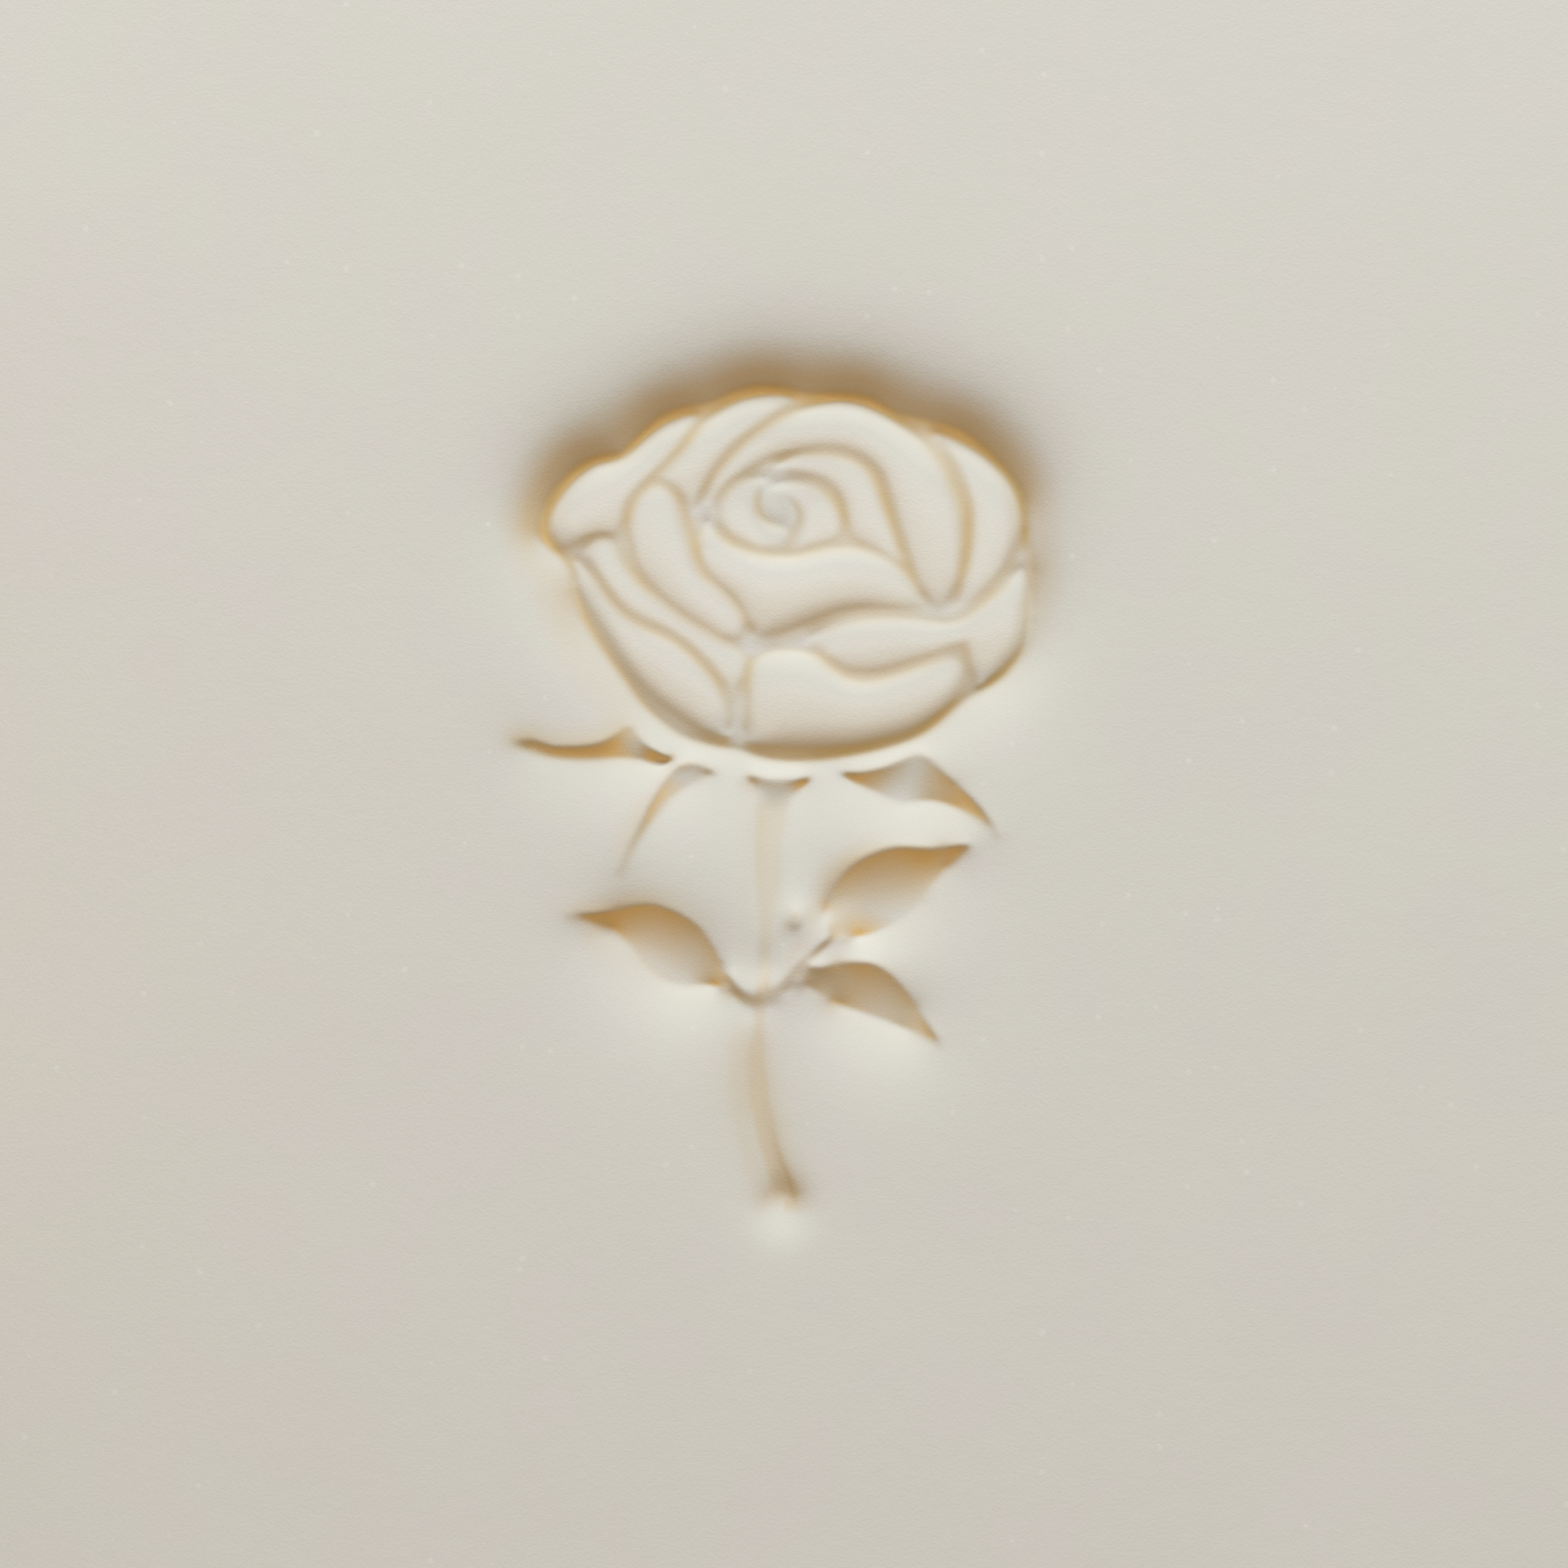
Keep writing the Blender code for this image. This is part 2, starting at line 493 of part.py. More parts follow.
# Tee nut under the plate, and the stud that runs from it into the handle
bore_radius = STUD_RADIUS + PIECE_GAP
tee_high = tee_low + TEE_FLANGE_THICKNESS
add_piece(
    "tee_nut",
    turned([(bore_radius, tee_low), (TEE_FLANGE_RADIUS, tee_low), (TEE_FLANGE_RADIUS, tee_high),
            (TEE_BARREL_RADIUS, tee_high), (TEE_BARREL_RADIUS, tee_low + TEE_BARREL_LENGTH),
            (bore_radius, tee_low + TEE_BARREL_LENGTH)], FITTING_STEPS, closed=True),
    steel_finish, stamp, handle_axis)
stud_end = STUD_START + STUD_LENGTH
stud_tip = STUD_RADIUS - STUD_CHAMFER
add_piece(
    "handle_stud",
    turned([(0.0, STUD_START), (stud_tip, STUD_START), (STUD_RADIUS, STUD_START + STUD_CHAMFER),
            (STUD_RADIUS, stud_end - STUD_CHAMFER), (stud_tip, stud_end), (0.0, stud_end)],
           FITTING_STEPS),
    steel_finish, stamp, handle_axis)

# Brass washer between the block and the handle
washer_rim = WASHER_RADIUS - WASHER_EDGE_RADIUS
add_piece(
    "rosette_washer",
    turned([(bore_radius, washer_low), (WASHER_RADIUS, washer_low),
            (WASHER_RADIUS, washer_high - WASHER_EDGE_RADIUS), (washer_rim, washer_high),
            (bore_radius, washer_high)], FITTING_STEPS, closed=True),
    brass_finish, stamp, handle_axis)

# Brass ferrule round the neck, with a bead at each end
ferrule_inside = NECK_RADIUS + PIECE_GAP
ferrule_outside = ferrule_inside + FERRULE_WALL
ferrule_beads = [(ferrule_inside, handle_low), (ferrule_outside, handle_low),
                 (ferrule_outside + FERRULE_BEAD, handle_low + FERRULE_BEAD),
                 (ferrule_outside, handle_low + 2 * FERRULE_BEAD),
                 (ferrule_outside, ferrule_high - 2 * FERRULE_BEAD),
                 (ferrule_outside + FERRULE_BEAD, ferrule_high - FERRULE_BEAD),
                 (ferrule_outside, ferrule_high), (ferrule_inside, ferrule_high)]
add_piece("ferrule", turned(ferrule_beads, FITTING_STEPS, closed=True), brass_finish, stamp,
          handle_axis)

# Handle, with a stepped bore for the insert and the stud, and a bore for the button
handle = add_piece("handle", turned(handle_profile, HANDLE_STEPS), beech_finish, stamp,
                   handle_axis)
insert_low = handle_low + PIECE_GAP
insert_high = insert_low + INSERT_LENGTH
stud_bore = add_piece(
    "stud_bore",
    turned([(0.0, handle_low - CUTTER_OVERSHOOT),
            (INSERT_RADIUS + PIECE_GAP, handle_low - CUTTER_OVERSHOOT),
            (INSERT_RADIUS + PIECE_GAP, insert_high + PIECE_GAP),
            (bore_radius, insert_high + PIECE_GAP), (bore_radius, stud_end + STUD_END_CLEARANCE),
            (0.0, stud_end + STUD_END_CLEARANCE)], FITTING_STEPS),
    carrier=stamp, place=handle_axis)
join_by_boolean(handle, stud_bore, "DIFFERENCE")
button_hole = BUTTON_SHANK_RADIUS + PIECE_GAP
button_bore = add_piece(
    "button_bore",
    turned([(0.0, handle_high - BUTTON_SHANK_LENGTH - PIECE_GAP),
            (button_hole, handle_high - BUTTON_SHANK_LENGTH - PIECE_GAP),
            (button_hole, handle_high + CUTTER_OVERSHOOT),
            (0.0, handle_high + CUTTER_OVERSHOOT)], SCREW_STEPS),
    carrier=stamp, place=handle_axis)
join_by_boolean(handle, button_bore, "DIFFERENCE")
add_piece(
    "handle_insert",
    turned([(bore_radius, insert_low), (INSERT_RADIUS, insert_low),
            (INSERT_RADIUS, insert_high), (bore_radius, insert_high)], FITTING_STEPS,
           closed=True),
    brass_finish, stamp, handle_axis)

# Brass button at the end of the handle
button_high = button_low + BUTTON_HEIGHT
button_dome = BUTTON_HEIGHT - BUTTON_RIM
dome = [(BUTTON_RADIUS * math.cos(turn), button_low + BUTTON_RIM + button_dome * math.sin(turn))
        for turn in (k * math.pi / 2 / EDGE_STEPS for k in range(EDGE_STEPS))]
add_piece(
    "end_button",
    turned([(0.0, button_low - BUTTON_SHANK_LENGTH),
            (BUTTON_SHANK_RADIUS, button_low - BUTTON_SHANK_LENGTH),
            (BUTTON_SHANK_RADIUS, button_low), (BUTTON_RADIUS, button_low)] + dome
           + [(0.0, button_high)], SCREW_STEPS),
    brass_finish, stamp, handle_axis)
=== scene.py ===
import math

import bmesh
import bpy
import numpy as np
from mathutils import Matrix, Vector, noise
from mathutils.bvhtree import BVHTree
from mathutils.kdtree import KDTree


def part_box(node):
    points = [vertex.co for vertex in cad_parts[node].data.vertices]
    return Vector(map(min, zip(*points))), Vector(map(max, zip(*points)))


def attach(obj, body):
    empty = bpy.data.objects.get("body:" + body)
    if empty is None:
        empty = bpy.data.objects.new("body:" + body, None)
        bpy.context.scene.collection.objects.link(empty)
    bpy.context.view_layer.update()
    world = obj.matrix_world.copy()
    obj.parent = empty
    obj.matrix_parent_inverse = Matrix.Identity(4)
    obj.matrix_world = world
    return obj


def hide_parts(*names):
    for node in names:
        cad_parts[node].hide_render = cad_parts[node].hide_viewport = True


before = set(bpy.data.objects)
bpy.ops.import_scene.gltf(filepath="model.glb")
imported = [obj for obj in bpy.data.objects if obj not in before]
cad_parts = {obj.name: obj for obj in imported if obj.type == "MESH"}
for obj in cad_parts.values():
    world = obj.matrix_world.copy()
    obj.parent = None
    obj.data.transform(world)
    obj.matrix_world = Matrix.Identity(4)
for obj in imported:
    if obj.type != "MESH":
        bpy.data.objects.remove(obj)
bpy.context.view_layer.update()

# The slab is cream-white stoneware clay, rolled flat and still soft, with the rose pressed
# into its face. The die drags the clay down round its lines, and the clay between the lines
# swells up into the hollows of the die, which gives the petals their puffy shape.
slab_low, slab_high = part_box("clay_slab")
clay_level = slab_high.z

# The mark as a grid of small cells: which of them are pressed in, and which are petals
mark_size = Vector((0.052, 0.066))
mark_middle = Vector((-0.0005, -0.0005))
CELL = 0.00010
PRESSED_AT_LEAST = 0.001
EDGE_STEP = 0.00002

cad_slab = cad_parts["clay_slab"].data
cad_skin = BVHTree.FromPolygons([vert.co for vert in cad_slab.vertices],
                                [tuple(face.vertices) for face in cad_slab.polygons])


def is_sunk(x, y):
    """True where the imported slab's face is pressed in."""
    hit = cad_skin.ray_cast(Vector((x, y, clay_level + CELL)), Vector((0, 0, -1)))
    return hit[0] is not None and hit[0].z < clay_level - PRESSED_AT_LEAST


def mark_edge():
    """A search tree of points along the upper edges of the mark's walls."""
    points = []
    for face in cad_slab.polygons:
        corners = [cad_slab.vertices[i].co for i in face.vertices]
        upper = [corner for corner in corners if corner.z > clay_level - CELL]
        depth = clay_level - min(corner.z for corner in corners)
        if len(upper) == 2 and depth > PRESSED_AT_LEAST and abs(face.normal.z) < 0.5:
            count = max(1, int((upper[1] - upper[0]).length / EDGE_STEP))
            points += [upper[0].lerp(upper[1], k / count) for k in range(count)]
    tree = KDTree(len(points))
    for index, point in enumerate(points):
        tree.insert(point, index)
    tree.balance()
    return tree


def share_between(value, low, high):
    """0 up to the low value and 1 from the high one, with a straight rise between."""
    return np.clip((value - low) / (high - low), 0, 1)


columns, rows = (round(side / CELL) for side in mark_size)
mark_corner = mark_middle - mark_size / 2
column_places = mark_corner.x + (np.arange(columns) + 0.5) * CELL
row_places = mark_corner.y + (np.arange(rows)[:, None] + 0.5) * CELL
sunk = np.array([[is_sunk(x, y) for x in column_places] for y in row_places.flat])
outside = np.zeros_like(sunk)
outside[0] = outside[-1] = outside[:, 0] = outside[:, -1] = True
grown = -1
while outside.sum() != grown:
    grown = outside.sum()
    spread_to = outside.copy()
    spread_to[1:] |= outside[:-1]
    spread_to[:-1] |= outside[1:]
    spread_to[:, 1:] |= outside[:, :-1]
    spread_to[:, :-1] |= outside[:, 1:]
    outside = spread_to & ~sunk
petals = (~(outside | sunk)).astype(float)
edge_of_mark = mark_edge()
inward = np.array([[edge_of_mark.find((x, y, clay_level))[2] for x in column_places]
                   for y in row_places.flat]) * np.where(sunk, 1, -1)
pressed = share_between(inward, -CELL / 2, CELL / 2)

# How hard each place was pressed: the stem, the bud and the stalks of the leaves only
# lightly. The stem's course gives its middle and its half width at places up the rose. Each
# light line has its start, its end, its reach and its share of the full press.
STEM_WIDTH = 0.0012
stem_course = (
    (-0.0230, 0.0, 0.00058), (-0.0220, -0.0002, 0.00054), (-0.0198, -0.00095, 0.00045),
    (-0.0175, -0.00135, 0.00045), (-0.0153, -0.0015, 0.0004), (-0.0132, -0.0014, 0.00027),
    (-0.0124, -0.00135, 0.0004), (-0.0101, -0.0011, 0.00036), (-0.0079, -0.001, 0.00036),
    (-0.0056, -0.0009, 0.00068), (-0.0034, -0.00086, 0.00068), (-0.0007, -0.0005, 0.0009))
stem_top = ((-0.0005, 1), (0.0010, 0))
stem_press = ((-0.0236, 0.45), (-0.0112, 0.5), (-0.0098, 0.8), (-0.0040, 1.0))
light_lines = (((0.0007, -0.0075), (0.0007, -0.0075), 0.0007, 0.10),
               ((0.0030, -0.0080), (-0.0003, -0.0113), 0.0009, 0.35),
               ((0.0014, -0.0106), (0.0024, -0.0110), 0.0011, 0.5),
               ((-0.0030, -0.0110), (-0.0016, -0.0116), 0.0006, 0.45))


def up_the_rose(points):
    """A value that changes from the foot of the rose to its top, from places and values."""
    return np.interp(row_places, *zip(*points))


def distance_from(start, end):
    """How far each cell is from a straight line."""
    along = np.subtract(end, start)
    past = (column_places - start[0]) * along[0] + (row_places - start[1]) * along[1]
    past = np.clip(past / max(along @ along, CELL ** 2), 0, 1)
    return np.hypot(column_places - start[0] - along[0] * past,
                    row_places - start[1] - along[1] * past)


stem_rows, stem_middles, stem_halves = zip(*stem_course)
past_stem = column_places - np.interp(row_places, stem_rows, stem_middles)
beside_stem = np.abs(past_stem) - np.interp(row_places, stem_rows, stem_halves)
in_stem = np.exp(-(past_stem / STEM_WIDTH) ** 4) * up_the_rose(stem_top)
press = 1 - (1 - up_the_rose(stem_press)) * in_stem
lightly = np.zeros_like(press)
for start, end, line_reach, line_press in light_lines:
    near_line = np.exp(-(distance_from(start, end) / line_reach) ** 4)
    press *= 1 - (1 - line_press) * near_line
    lightly = np.maximum(lightly, near_line)

# The head and the lines inside it, and the wide and the broad pockets of the leaves
EDGE_SOFTNESS = 0.00012
HEAD_SPREAD = 0.0010
HEAD_REACH = 0.0025
INSIDE_SPREAD = 0.0009
WIDE_SPREAD = 0.0006
BROAD_SPREAD = 0.0012
head_shares = (0, 0.3)
inside_shares = (0.45, 0.75)
wide_shares = (0.3, 0.6)
broad_shares = (0.0625, 0.47917)
EDGE_SLOPE = 500


def blurred(values, spread):
    """A map smoothed over a given spread."""
    waves = [np.fft.fftfreq(side, CELL) for side in values.shape]
    fall = np.exp(-2 * (math.pi * spread) ** 2 * (waves[0][:, None] ** 2 + waves[1] ** 2))
    return np.fft.ifft2(np.fft.fft2(values) * fall).real


head = share_between(blurred(petals, HEAD_SPREAD), *head_shares)
near_head = share_between(blurred(petals, HEAD_REACH), *head_shares)
inside = share_between(blurred(petals, INSIDE_SPREAD), *inside_shares)
round_head = head * (1 - inside)
wide = share_between(blurred(pressed, WIDE_SPREAD), *wide_shares)
broad = share_between(blurred(pressed, BROAD_SPREAD), *broad_shares)
up_slope, across_slope = np.gradient(blurred(pressed, EDGE_SOFTNESS), CELL)
upper_side = -up_slope / np.sqrt(up_slope ** 2 + across_slope ** 2 + EDGE_SLOPE ** 2)
head_up, head_across = np.gradient(blurred(petals, HEAD_SPREAD), CELL)
over_head = np.clip(-2 * HEAD_SPREAD * head_up, 0, 1)
across_light = head_up ** 2 / (head_up ** 2 + head_across ** 2 + 1)

# The level of the skin at the edges of the lines. It is dragged down less over a leaf than
# under it, and more over the head than under it.
SHOULDER_DROP = 0.00195
DRAG_SPREAD = 0.0014
DRAG_GAIN = 3
POCKET_SHARE = 0.59
POCKET_TILT = 0.00065
CONTOUR_TILT = 0.00012
CONTOUR_DROP = 0.00030
PETAL_TILT = 0.00002
INNER_LIFT = 0.00035

shoulder = -SHOULDER_DROP * np.minimum(1, DRAG_GAIN * blurred(1.0 - outside, DRAG_SPREAD))
shoulder *= (POCKET_SHARE + (1 - POCKET_SHARE) * near_head) * press
edge_tilt = (CONTOUR_TILT * head + POCKET_TILT * broad * (1 - head)) * press
skin_edge = shoulder + upper_side * edge_tilt - CONTOUR_DROP * over_head
petal_edge = (skin_edge * (1 - inside)
              + (shoulder + INNER_LIFT + upper_side * PETAL_TILT) * inside)

# The skin between the lines, and then the floor under them
LEAF_REACH = 0.00165
HEAD_DRAG_REACH = 0.00125
LEAVES_END = 0.002
HEAD_START = 0.006
PETAL_RISE = 0.00155
PETAL_REACH = 0.0016
PETAL_SLANT = 0.0015
MARK_FLOOR = 0.00240
SLIT_DEPTH = 0.00002
CONTOUR_SLIT = 0.00006
SLIT_REACH = 0.00012
POCKET_REACH = 0.0018
RELAX_ROUNDS = 150
OVERSHOOT = 1.9


def relaxed(edge, held, level, reach, slant=0):
    """A height map as a skin pulled towards a level over a given reach, and held at its edge.

    Each cell is held by its own share. With a slant, a swelling is steeper on its upper side.
    """
    edge, held, level, reach = (values[1:-1, 1:-1] for values in np.broadcast_arrays(
        edge, held, level, reach))
    stiffness = (reach / CELL) ** 2
    lean = slant / (2 * reach) / (reach / CELL)
    height = np.pad(edge, 1, mode="edge")
    inner = height[1:-1, 1:-1]
    row, column = np.indices(inner.shape)
    turns = [OVERSHOOT * ((row + column) % 2 == turn) for turn in (0, 1)]
    for _ in range(RELAX_ROUNDS):
        for turn in turns:
            around = ((1 + lean) * height[:-2, 1:-1] + (1 - lean) * height[2:, 1:-1]
                      + height[1:-1, :-2] + height[1:-1, 2:])
            target = (level + stiffness * around) / (1 + 4 * stiffness)
            inner += turn * (target + held * (edge - target) - inner)
    return height


held = np.where(outside, pressed, 1)
drag_reach = up_the_rose(((LEAVES_END, LEAF_REACH), (HEAD_START, HEAD_DRAG_REACH)))
skin = relaxed(skin_edge, held, 0, drag_reach)
skin = relaxed(skin_edge, held, skin, drag_reach)
bulge = relaxed(petal_edge, np.where(petals, pressed, 1), shoulder + PETAL_RISE, PETAL_REACH,
                PETAL_SLANT)
skin = np.where(petals, bulge, np.where(outside, skin, petal_edge))
slit = SLIT_DEPTH + (CONTOUR_SLIT - SLIT_DEPTH) * (1 - inside)
floor_map = (petal_edge - slit) * (1 - wide) - MARK_FLOOR * press * wide
floor_map = relaxed(skin, 1 - pressed, floor_map,
                    SLIT_REACH + (POCKET_REACH - SLIT_REACH) * wide)
height_map = skin * (1 - pressed) + floor_map * pressed

# The stem is a shallow band that ends in a dip, and all edges of the soft clay are rounded.
stem_end = (-0.0001, -0.0233)
END_DIP = 0.00055
END_REACH = 0.0014
STEM_EDGE = 0.00018
STEM_DIP = 0.00010
STEM_SOFTNESS = 0.00032
stem_band = ((-0.0234, 0), (-0.0228, 1), (-0.0012, 1), (-0.0006, 0))

band = share_between(-beside_stem, -STEM_EDGE, STEM_EDGE) * up_the_rose(stem_band)
height_map -= END_DIP * np.exp(-(distance_from(stem_end, stem_end) / END_REACH) ** 2)
height_map -= STEM_DIP * band
height_map = (blurred(height_map, EDGE_SOFTNESS) * (1 - in_stem)
              + blurred(height_map, STEM_SOFTNESS) * in_stem)

# How much of the light is shut off by the clay above each place, and how it is turned
SHADE_REACH = 0.0036
SHADE_FROM = 0.24
SHADE_FULL = 0.70
LIT_SLOPE = 0.5
shade_from_sides = ((0, 1, 1.0), (-1, 1, 1.0), (-1, 0, 1.0), (1, 1, 0.8))

turned_away = np.gradient(height_map, CELL, axis=0)
horizon = np.zeros_like(height_map)
for aside, up, share in shade_from_sides:
    for step in range(1, round(SHADE_REACH / CELL)):
        rise = np.roll(height_map, (-up * step, -aside * step), axis=(0, 1)) - height_map
        horizon = np.maximum(horizon, share * rise / (step * CELL * math.hypot(aside, up)))
not_lit = share_between(turned_away, -LIT_SLOPE, 0)
shade = share_between(horizon, SHADE_FROM, SHADE_FULL) * not_lit
in_line = blurred(pressed, EDGE_SOFTNESS)

# The deepest shade is painted amber, less so outside the lines, inside the head, in the stem,
# along the upright parts of the contour and where the die pressed lightly.
AMBER_FALL = 1.7
AMBER_LOST_OFF_LINE = 0.8
AMBER_LOST_INSIDE = 0.7
AMBER_LOST_IN_STEM = 0.3
AMBER_LOST_UPRIGHT = 0.7
LOST_WHERE_LIGHT = 0.85

amber_shade_map = (shade ** AMBER_FALL * (1 - AMBER_LOST_OFF_LINE * (1 - in_line))
             * (1 - AMBER_LOST_INSIDE * inside) * (1 - AMBER_LOST_IN_STEM * in_stem)
             * (1 - AMBER_LOST_UPRIGHT * round_head * (1 - across_light))
             * (1 - LOST_WHERE_LIGHT * lightly))

# Painted brown shade runs as dark lines along the contour of the head, the thin tips of the leaves
# and the right edge of the stem's foot.
SEAM_SHADE_SPREAD = 0.0002
SEAM_SHADE_GAIN = 1.6
UPRIGHT_SEAM_SHADE = 0.35
TIP_SEAM_SHADE = 0.7
top_seam_shade = ((0.010, 0), (0.013, 0.9))
foot_seam_shade = ((-0.0232, 0), (-0.0226, 0.45), (-0.0185, 0))

contour = round_head * np.maximum(UPRIGHT_SEAM_SHADE + (1 - UPRIGHT_SEAM_SHADE) * across_light,
                                  up_the_rose(top_seam_shade))
contour += TIP_SEAM_SHADE * (1 - head) * (1 - broad)
seam_shade_map = np.clip(SEAM_SHADE_GAIN * blurred(pressed, SEAM_SHADE_SPREAD) * (1 - wide) * contour, 0, 1)
seam_shade_map *= (1 - LOST_WHERE_LIGHT * lightly) * (1 - in_stem)
edge_of_stem = np.exp(-(beside_stem / STEM_EDGE) ** 2) * (past_stem > 0)
seam_shade_map = np.maximum(seam_shade_map, edge_of_stem * up_the_rose(foot_seam_shade))

# Painted shade: the lines inside the head are painted tan, more so in upright lines, and so are
# the shaded floors of the wide pockets.
HOLLOW_SPREAD = 0.00024
HOLLOW_SHARE = 0.9
UPRIGHT_HOLLOW = 0.7

line_up, line_across = (blurred(slope ** 2, HOLLOW_SPREAD) for slope in (up_slope, across_slope))
upright_line = line_across / (line_up + line_across + 1)
hollow_shade_map = (blurred(pressed, HOLLOW_SPREAD) * (1 - wide) * inside
              * (HOLLOW_SHARE + UPRIGHT_HOLLOW * upright_line))
hollow_shade_map = np.clip(hollow_shade_map + shade * wide * in_line * (1 - amber_shade_map), 0, 1)

# Painted warm light and shade: tan is painted on the lee side over each line, on the upper left
# rims of the leaves, on the stem and the clay beside it, to a reach and a strength that change up
# the rose, and on shaded places.
GLOW_REACH = 0.00065
RIM_REACH = 0.0009
RIM_SLOPE = 200
RIM_ASIDE = 0.7
GLOW_LOST_ROUND_HEAD = 0.5
GLOW_LOST_WHERE_LIGHT = 0.8
WARMTH_ON_LIGHT_LINES = 0.5
RIM_LOST_IN_LINE = 0.5
SHADE_TAN = 0.8
TAN_LOST_IN_LINE = 0.5
TAN_LOST_WHERE_LIGHT = 0.5
glow_slopes = (0.0625, 0.47917)
stem_warmth = ((-0.0235, 0.5), (-0.0215, 0.8), (-0.0150, 0.8), (-0.0120, 0.4))
stem_halos = ((-1, 0.0010, ((-0.0238, 0), (-0.0228, 0.3), (-0.0190, 0.3), (-0.0175, 0.6),
                            (-0.0145, 0.6), (-0.0130, 0))),
              (1, 0.0006, ((-0.0238, 0), (-0.0232, 0.9), (-0.0195, 0.8), (-0.0140, 0.4),
                           (-0.0125, 0))))

glow_map = np.exp(-np.abs(inward) / GLOW_REACH) * share_between(turned_away, *glow_slopes)
rim_up, rim_across = np.gradient(blurred(pressed, GLOW_REACH), CELL)
rim = (RIM_ASIDE * rim_across - rim_up) / np.sqrt(rim_up ** 2 + rim_across ** 2 + RIM_SLOPE ** 2)
rim *= np.exp(-np.abs(inward) / RIM_REACH) * (1 - RIM_LOST_IN_LINE * in_line)
rim *= (1 - head) * (1 - in_stem)
glow_map = np.maximum(glow_map * (1 - GLOW_LOST_ROUND_HEAD * round_head), rim)
glow_map = np.clip(glow_map, 0, 1) * not_lit
painted_warmth = band * up_the_rose(stem_warmth) + WARMTH_ON_LIGHT_LINES * lightly * in_line
for side, halo_reach, strengths in stem_halos:
    fade = np.exp(-np.maximum(beside_stem, 0) / halo_reach) * (side * past_stem > 0)
    painted_warmth += fade * (1 - band) * up_the_rose(strengths)
warm_shade_map = (glow_map * (1 - GLOW_LOST_WHERE_LIGHT * lightly) + painted_warmth
            + shade * (SHADE_TAN - TAN_LOST_IN_LINE * in_line)
            * (1 - TAN_LOST_WHERE_LIGHT * lightly))
warm_shade_map = np.clip(warm_shade_map, 0, 1)

# Painted shade and light: slopes that face the window are painted darker to tone down their light,
# and the petals' slopes turned away from it are painted lighter. The whole head is a little lower
# towards its heart.
WALL_SLOPE = 0.5
petal_slopes = (-0.18182, 0.27273)
heart = (0.0002, 0.0156)
HEART_DIP = 0.00028
HEART_REACH = 0.0045

lit_slope_darkening = share_between(-turned_away, 0, WALL_SLOPE)
petal_glow_map = inside * share_between(turned_away, *petal_slopes)
height_map -= HEART_DIP * inside * np.exp(-(distance_from(heart, heart) / HEART_REACH) ** 2)


def map_at(values, places):
    """A map's values at some places, on a smooth curve through its cells."""
    spots = [(places[:, side] - corner) / CELL - 0.5 for side, corner in enumerate(mark_corner)]
    cells = [np.clip(spot.astype(int), 1, count - 3)
             for spot, count in zip(spots, (columns, rows))]
    weights = []
    for spot, cell in zip(spots, cells):
        t = np.clip(spot - cell, 0, 1)
        weights.append(((-t + 2 * t ** 2 - t ** 3) / 2, (2 - 5 * t ** 2 + 3 * t ** 3) / 2,
                        (t + 4 * t ** 2 - 3 * t ** 3) / 2, (t ** 3 - t ** 2) / 2))
    return sum(weights[1][j] * weights[0][i] * values[cells[1] + j - 1, cells[0] + i - 1]
               for j in range(4) for i in range(4))


def outward(vert):
    """The direction from the slab's core to a point of its side."""
    place = vert.co.xy - slab_middle.xy
    nearest = Vector((min(max(place.x, -core.x), core.x), min(max(place.y, -core.y), core.y)))
    return (place - nearest).normalized()


# The face starts as a coarse sheet with round corners, and its rim is drawn down to the
# underside. The squares of the sheet are then halved towards the mark.
SQUARE = 0.0016
CORNER_RADIUS = 0.004
FACE_INSET = 0.0015
BASE_INSET = 0.0008
RIM_STEPS = 6
KNIFE_WOBBLE = 0.0004
KNIFE_REACH = 0.011
KNIFE_STRETCH = 3
ROLLED_WAVE = 0.00005
ROLLED_REACH = 0.012
refine_within = (0.009, 0.006, 0.0032, 0.0004)

slab_middle = (slab_low + slab_high) / 2
slab_size = slab_high - slab_low
face_size = Vector((slab_size.x - 2 * FACE_INSET, slab_size.y - 2 * FACE_INSET, 0))
corner_round = CORNER_RADIUS - FACE_INSET
core = Vector((slab_size.x / 2 - CORNER_RADIUS, slab_size.y / 2 - CORNER_RADIUS))
clay = bmesh.new()
bmesh.ops.create_grid(clay, x_segments=round(face_size.x / SQUARE),
                      y_segments=round(face_size.y / SQUARE), size=0.5)
bmesh.ops.scale(clay, vec=(face_size.x, face_size.y, 1), verts=clay.verts[:])
for vert in clay.verts:
    past = Vector((max(abs(vert.co.x) - core.x, 0), max(abs(vert.co.y) - core.y, 0)))
    past /= corner_round
    rounder = (core.x + corner_round * past.x * math.sqrt(1 - past.y ** 2 / 2),
               core.y + corner_round * past.y * math.sqrt(1 - past.x ** 2 / 2))
    if past.x > 0:
        vert.co.x = math.copysign(rounder[0], vert.co.x)
    if past.y > 0:
        vert.co.y = math.copysign(rounder[1], vert.co.y)
bmesh.ops.translate(clay, vec=(slab_middle.x, slab_middle.y, clay_level), verts=clay.verts[:])

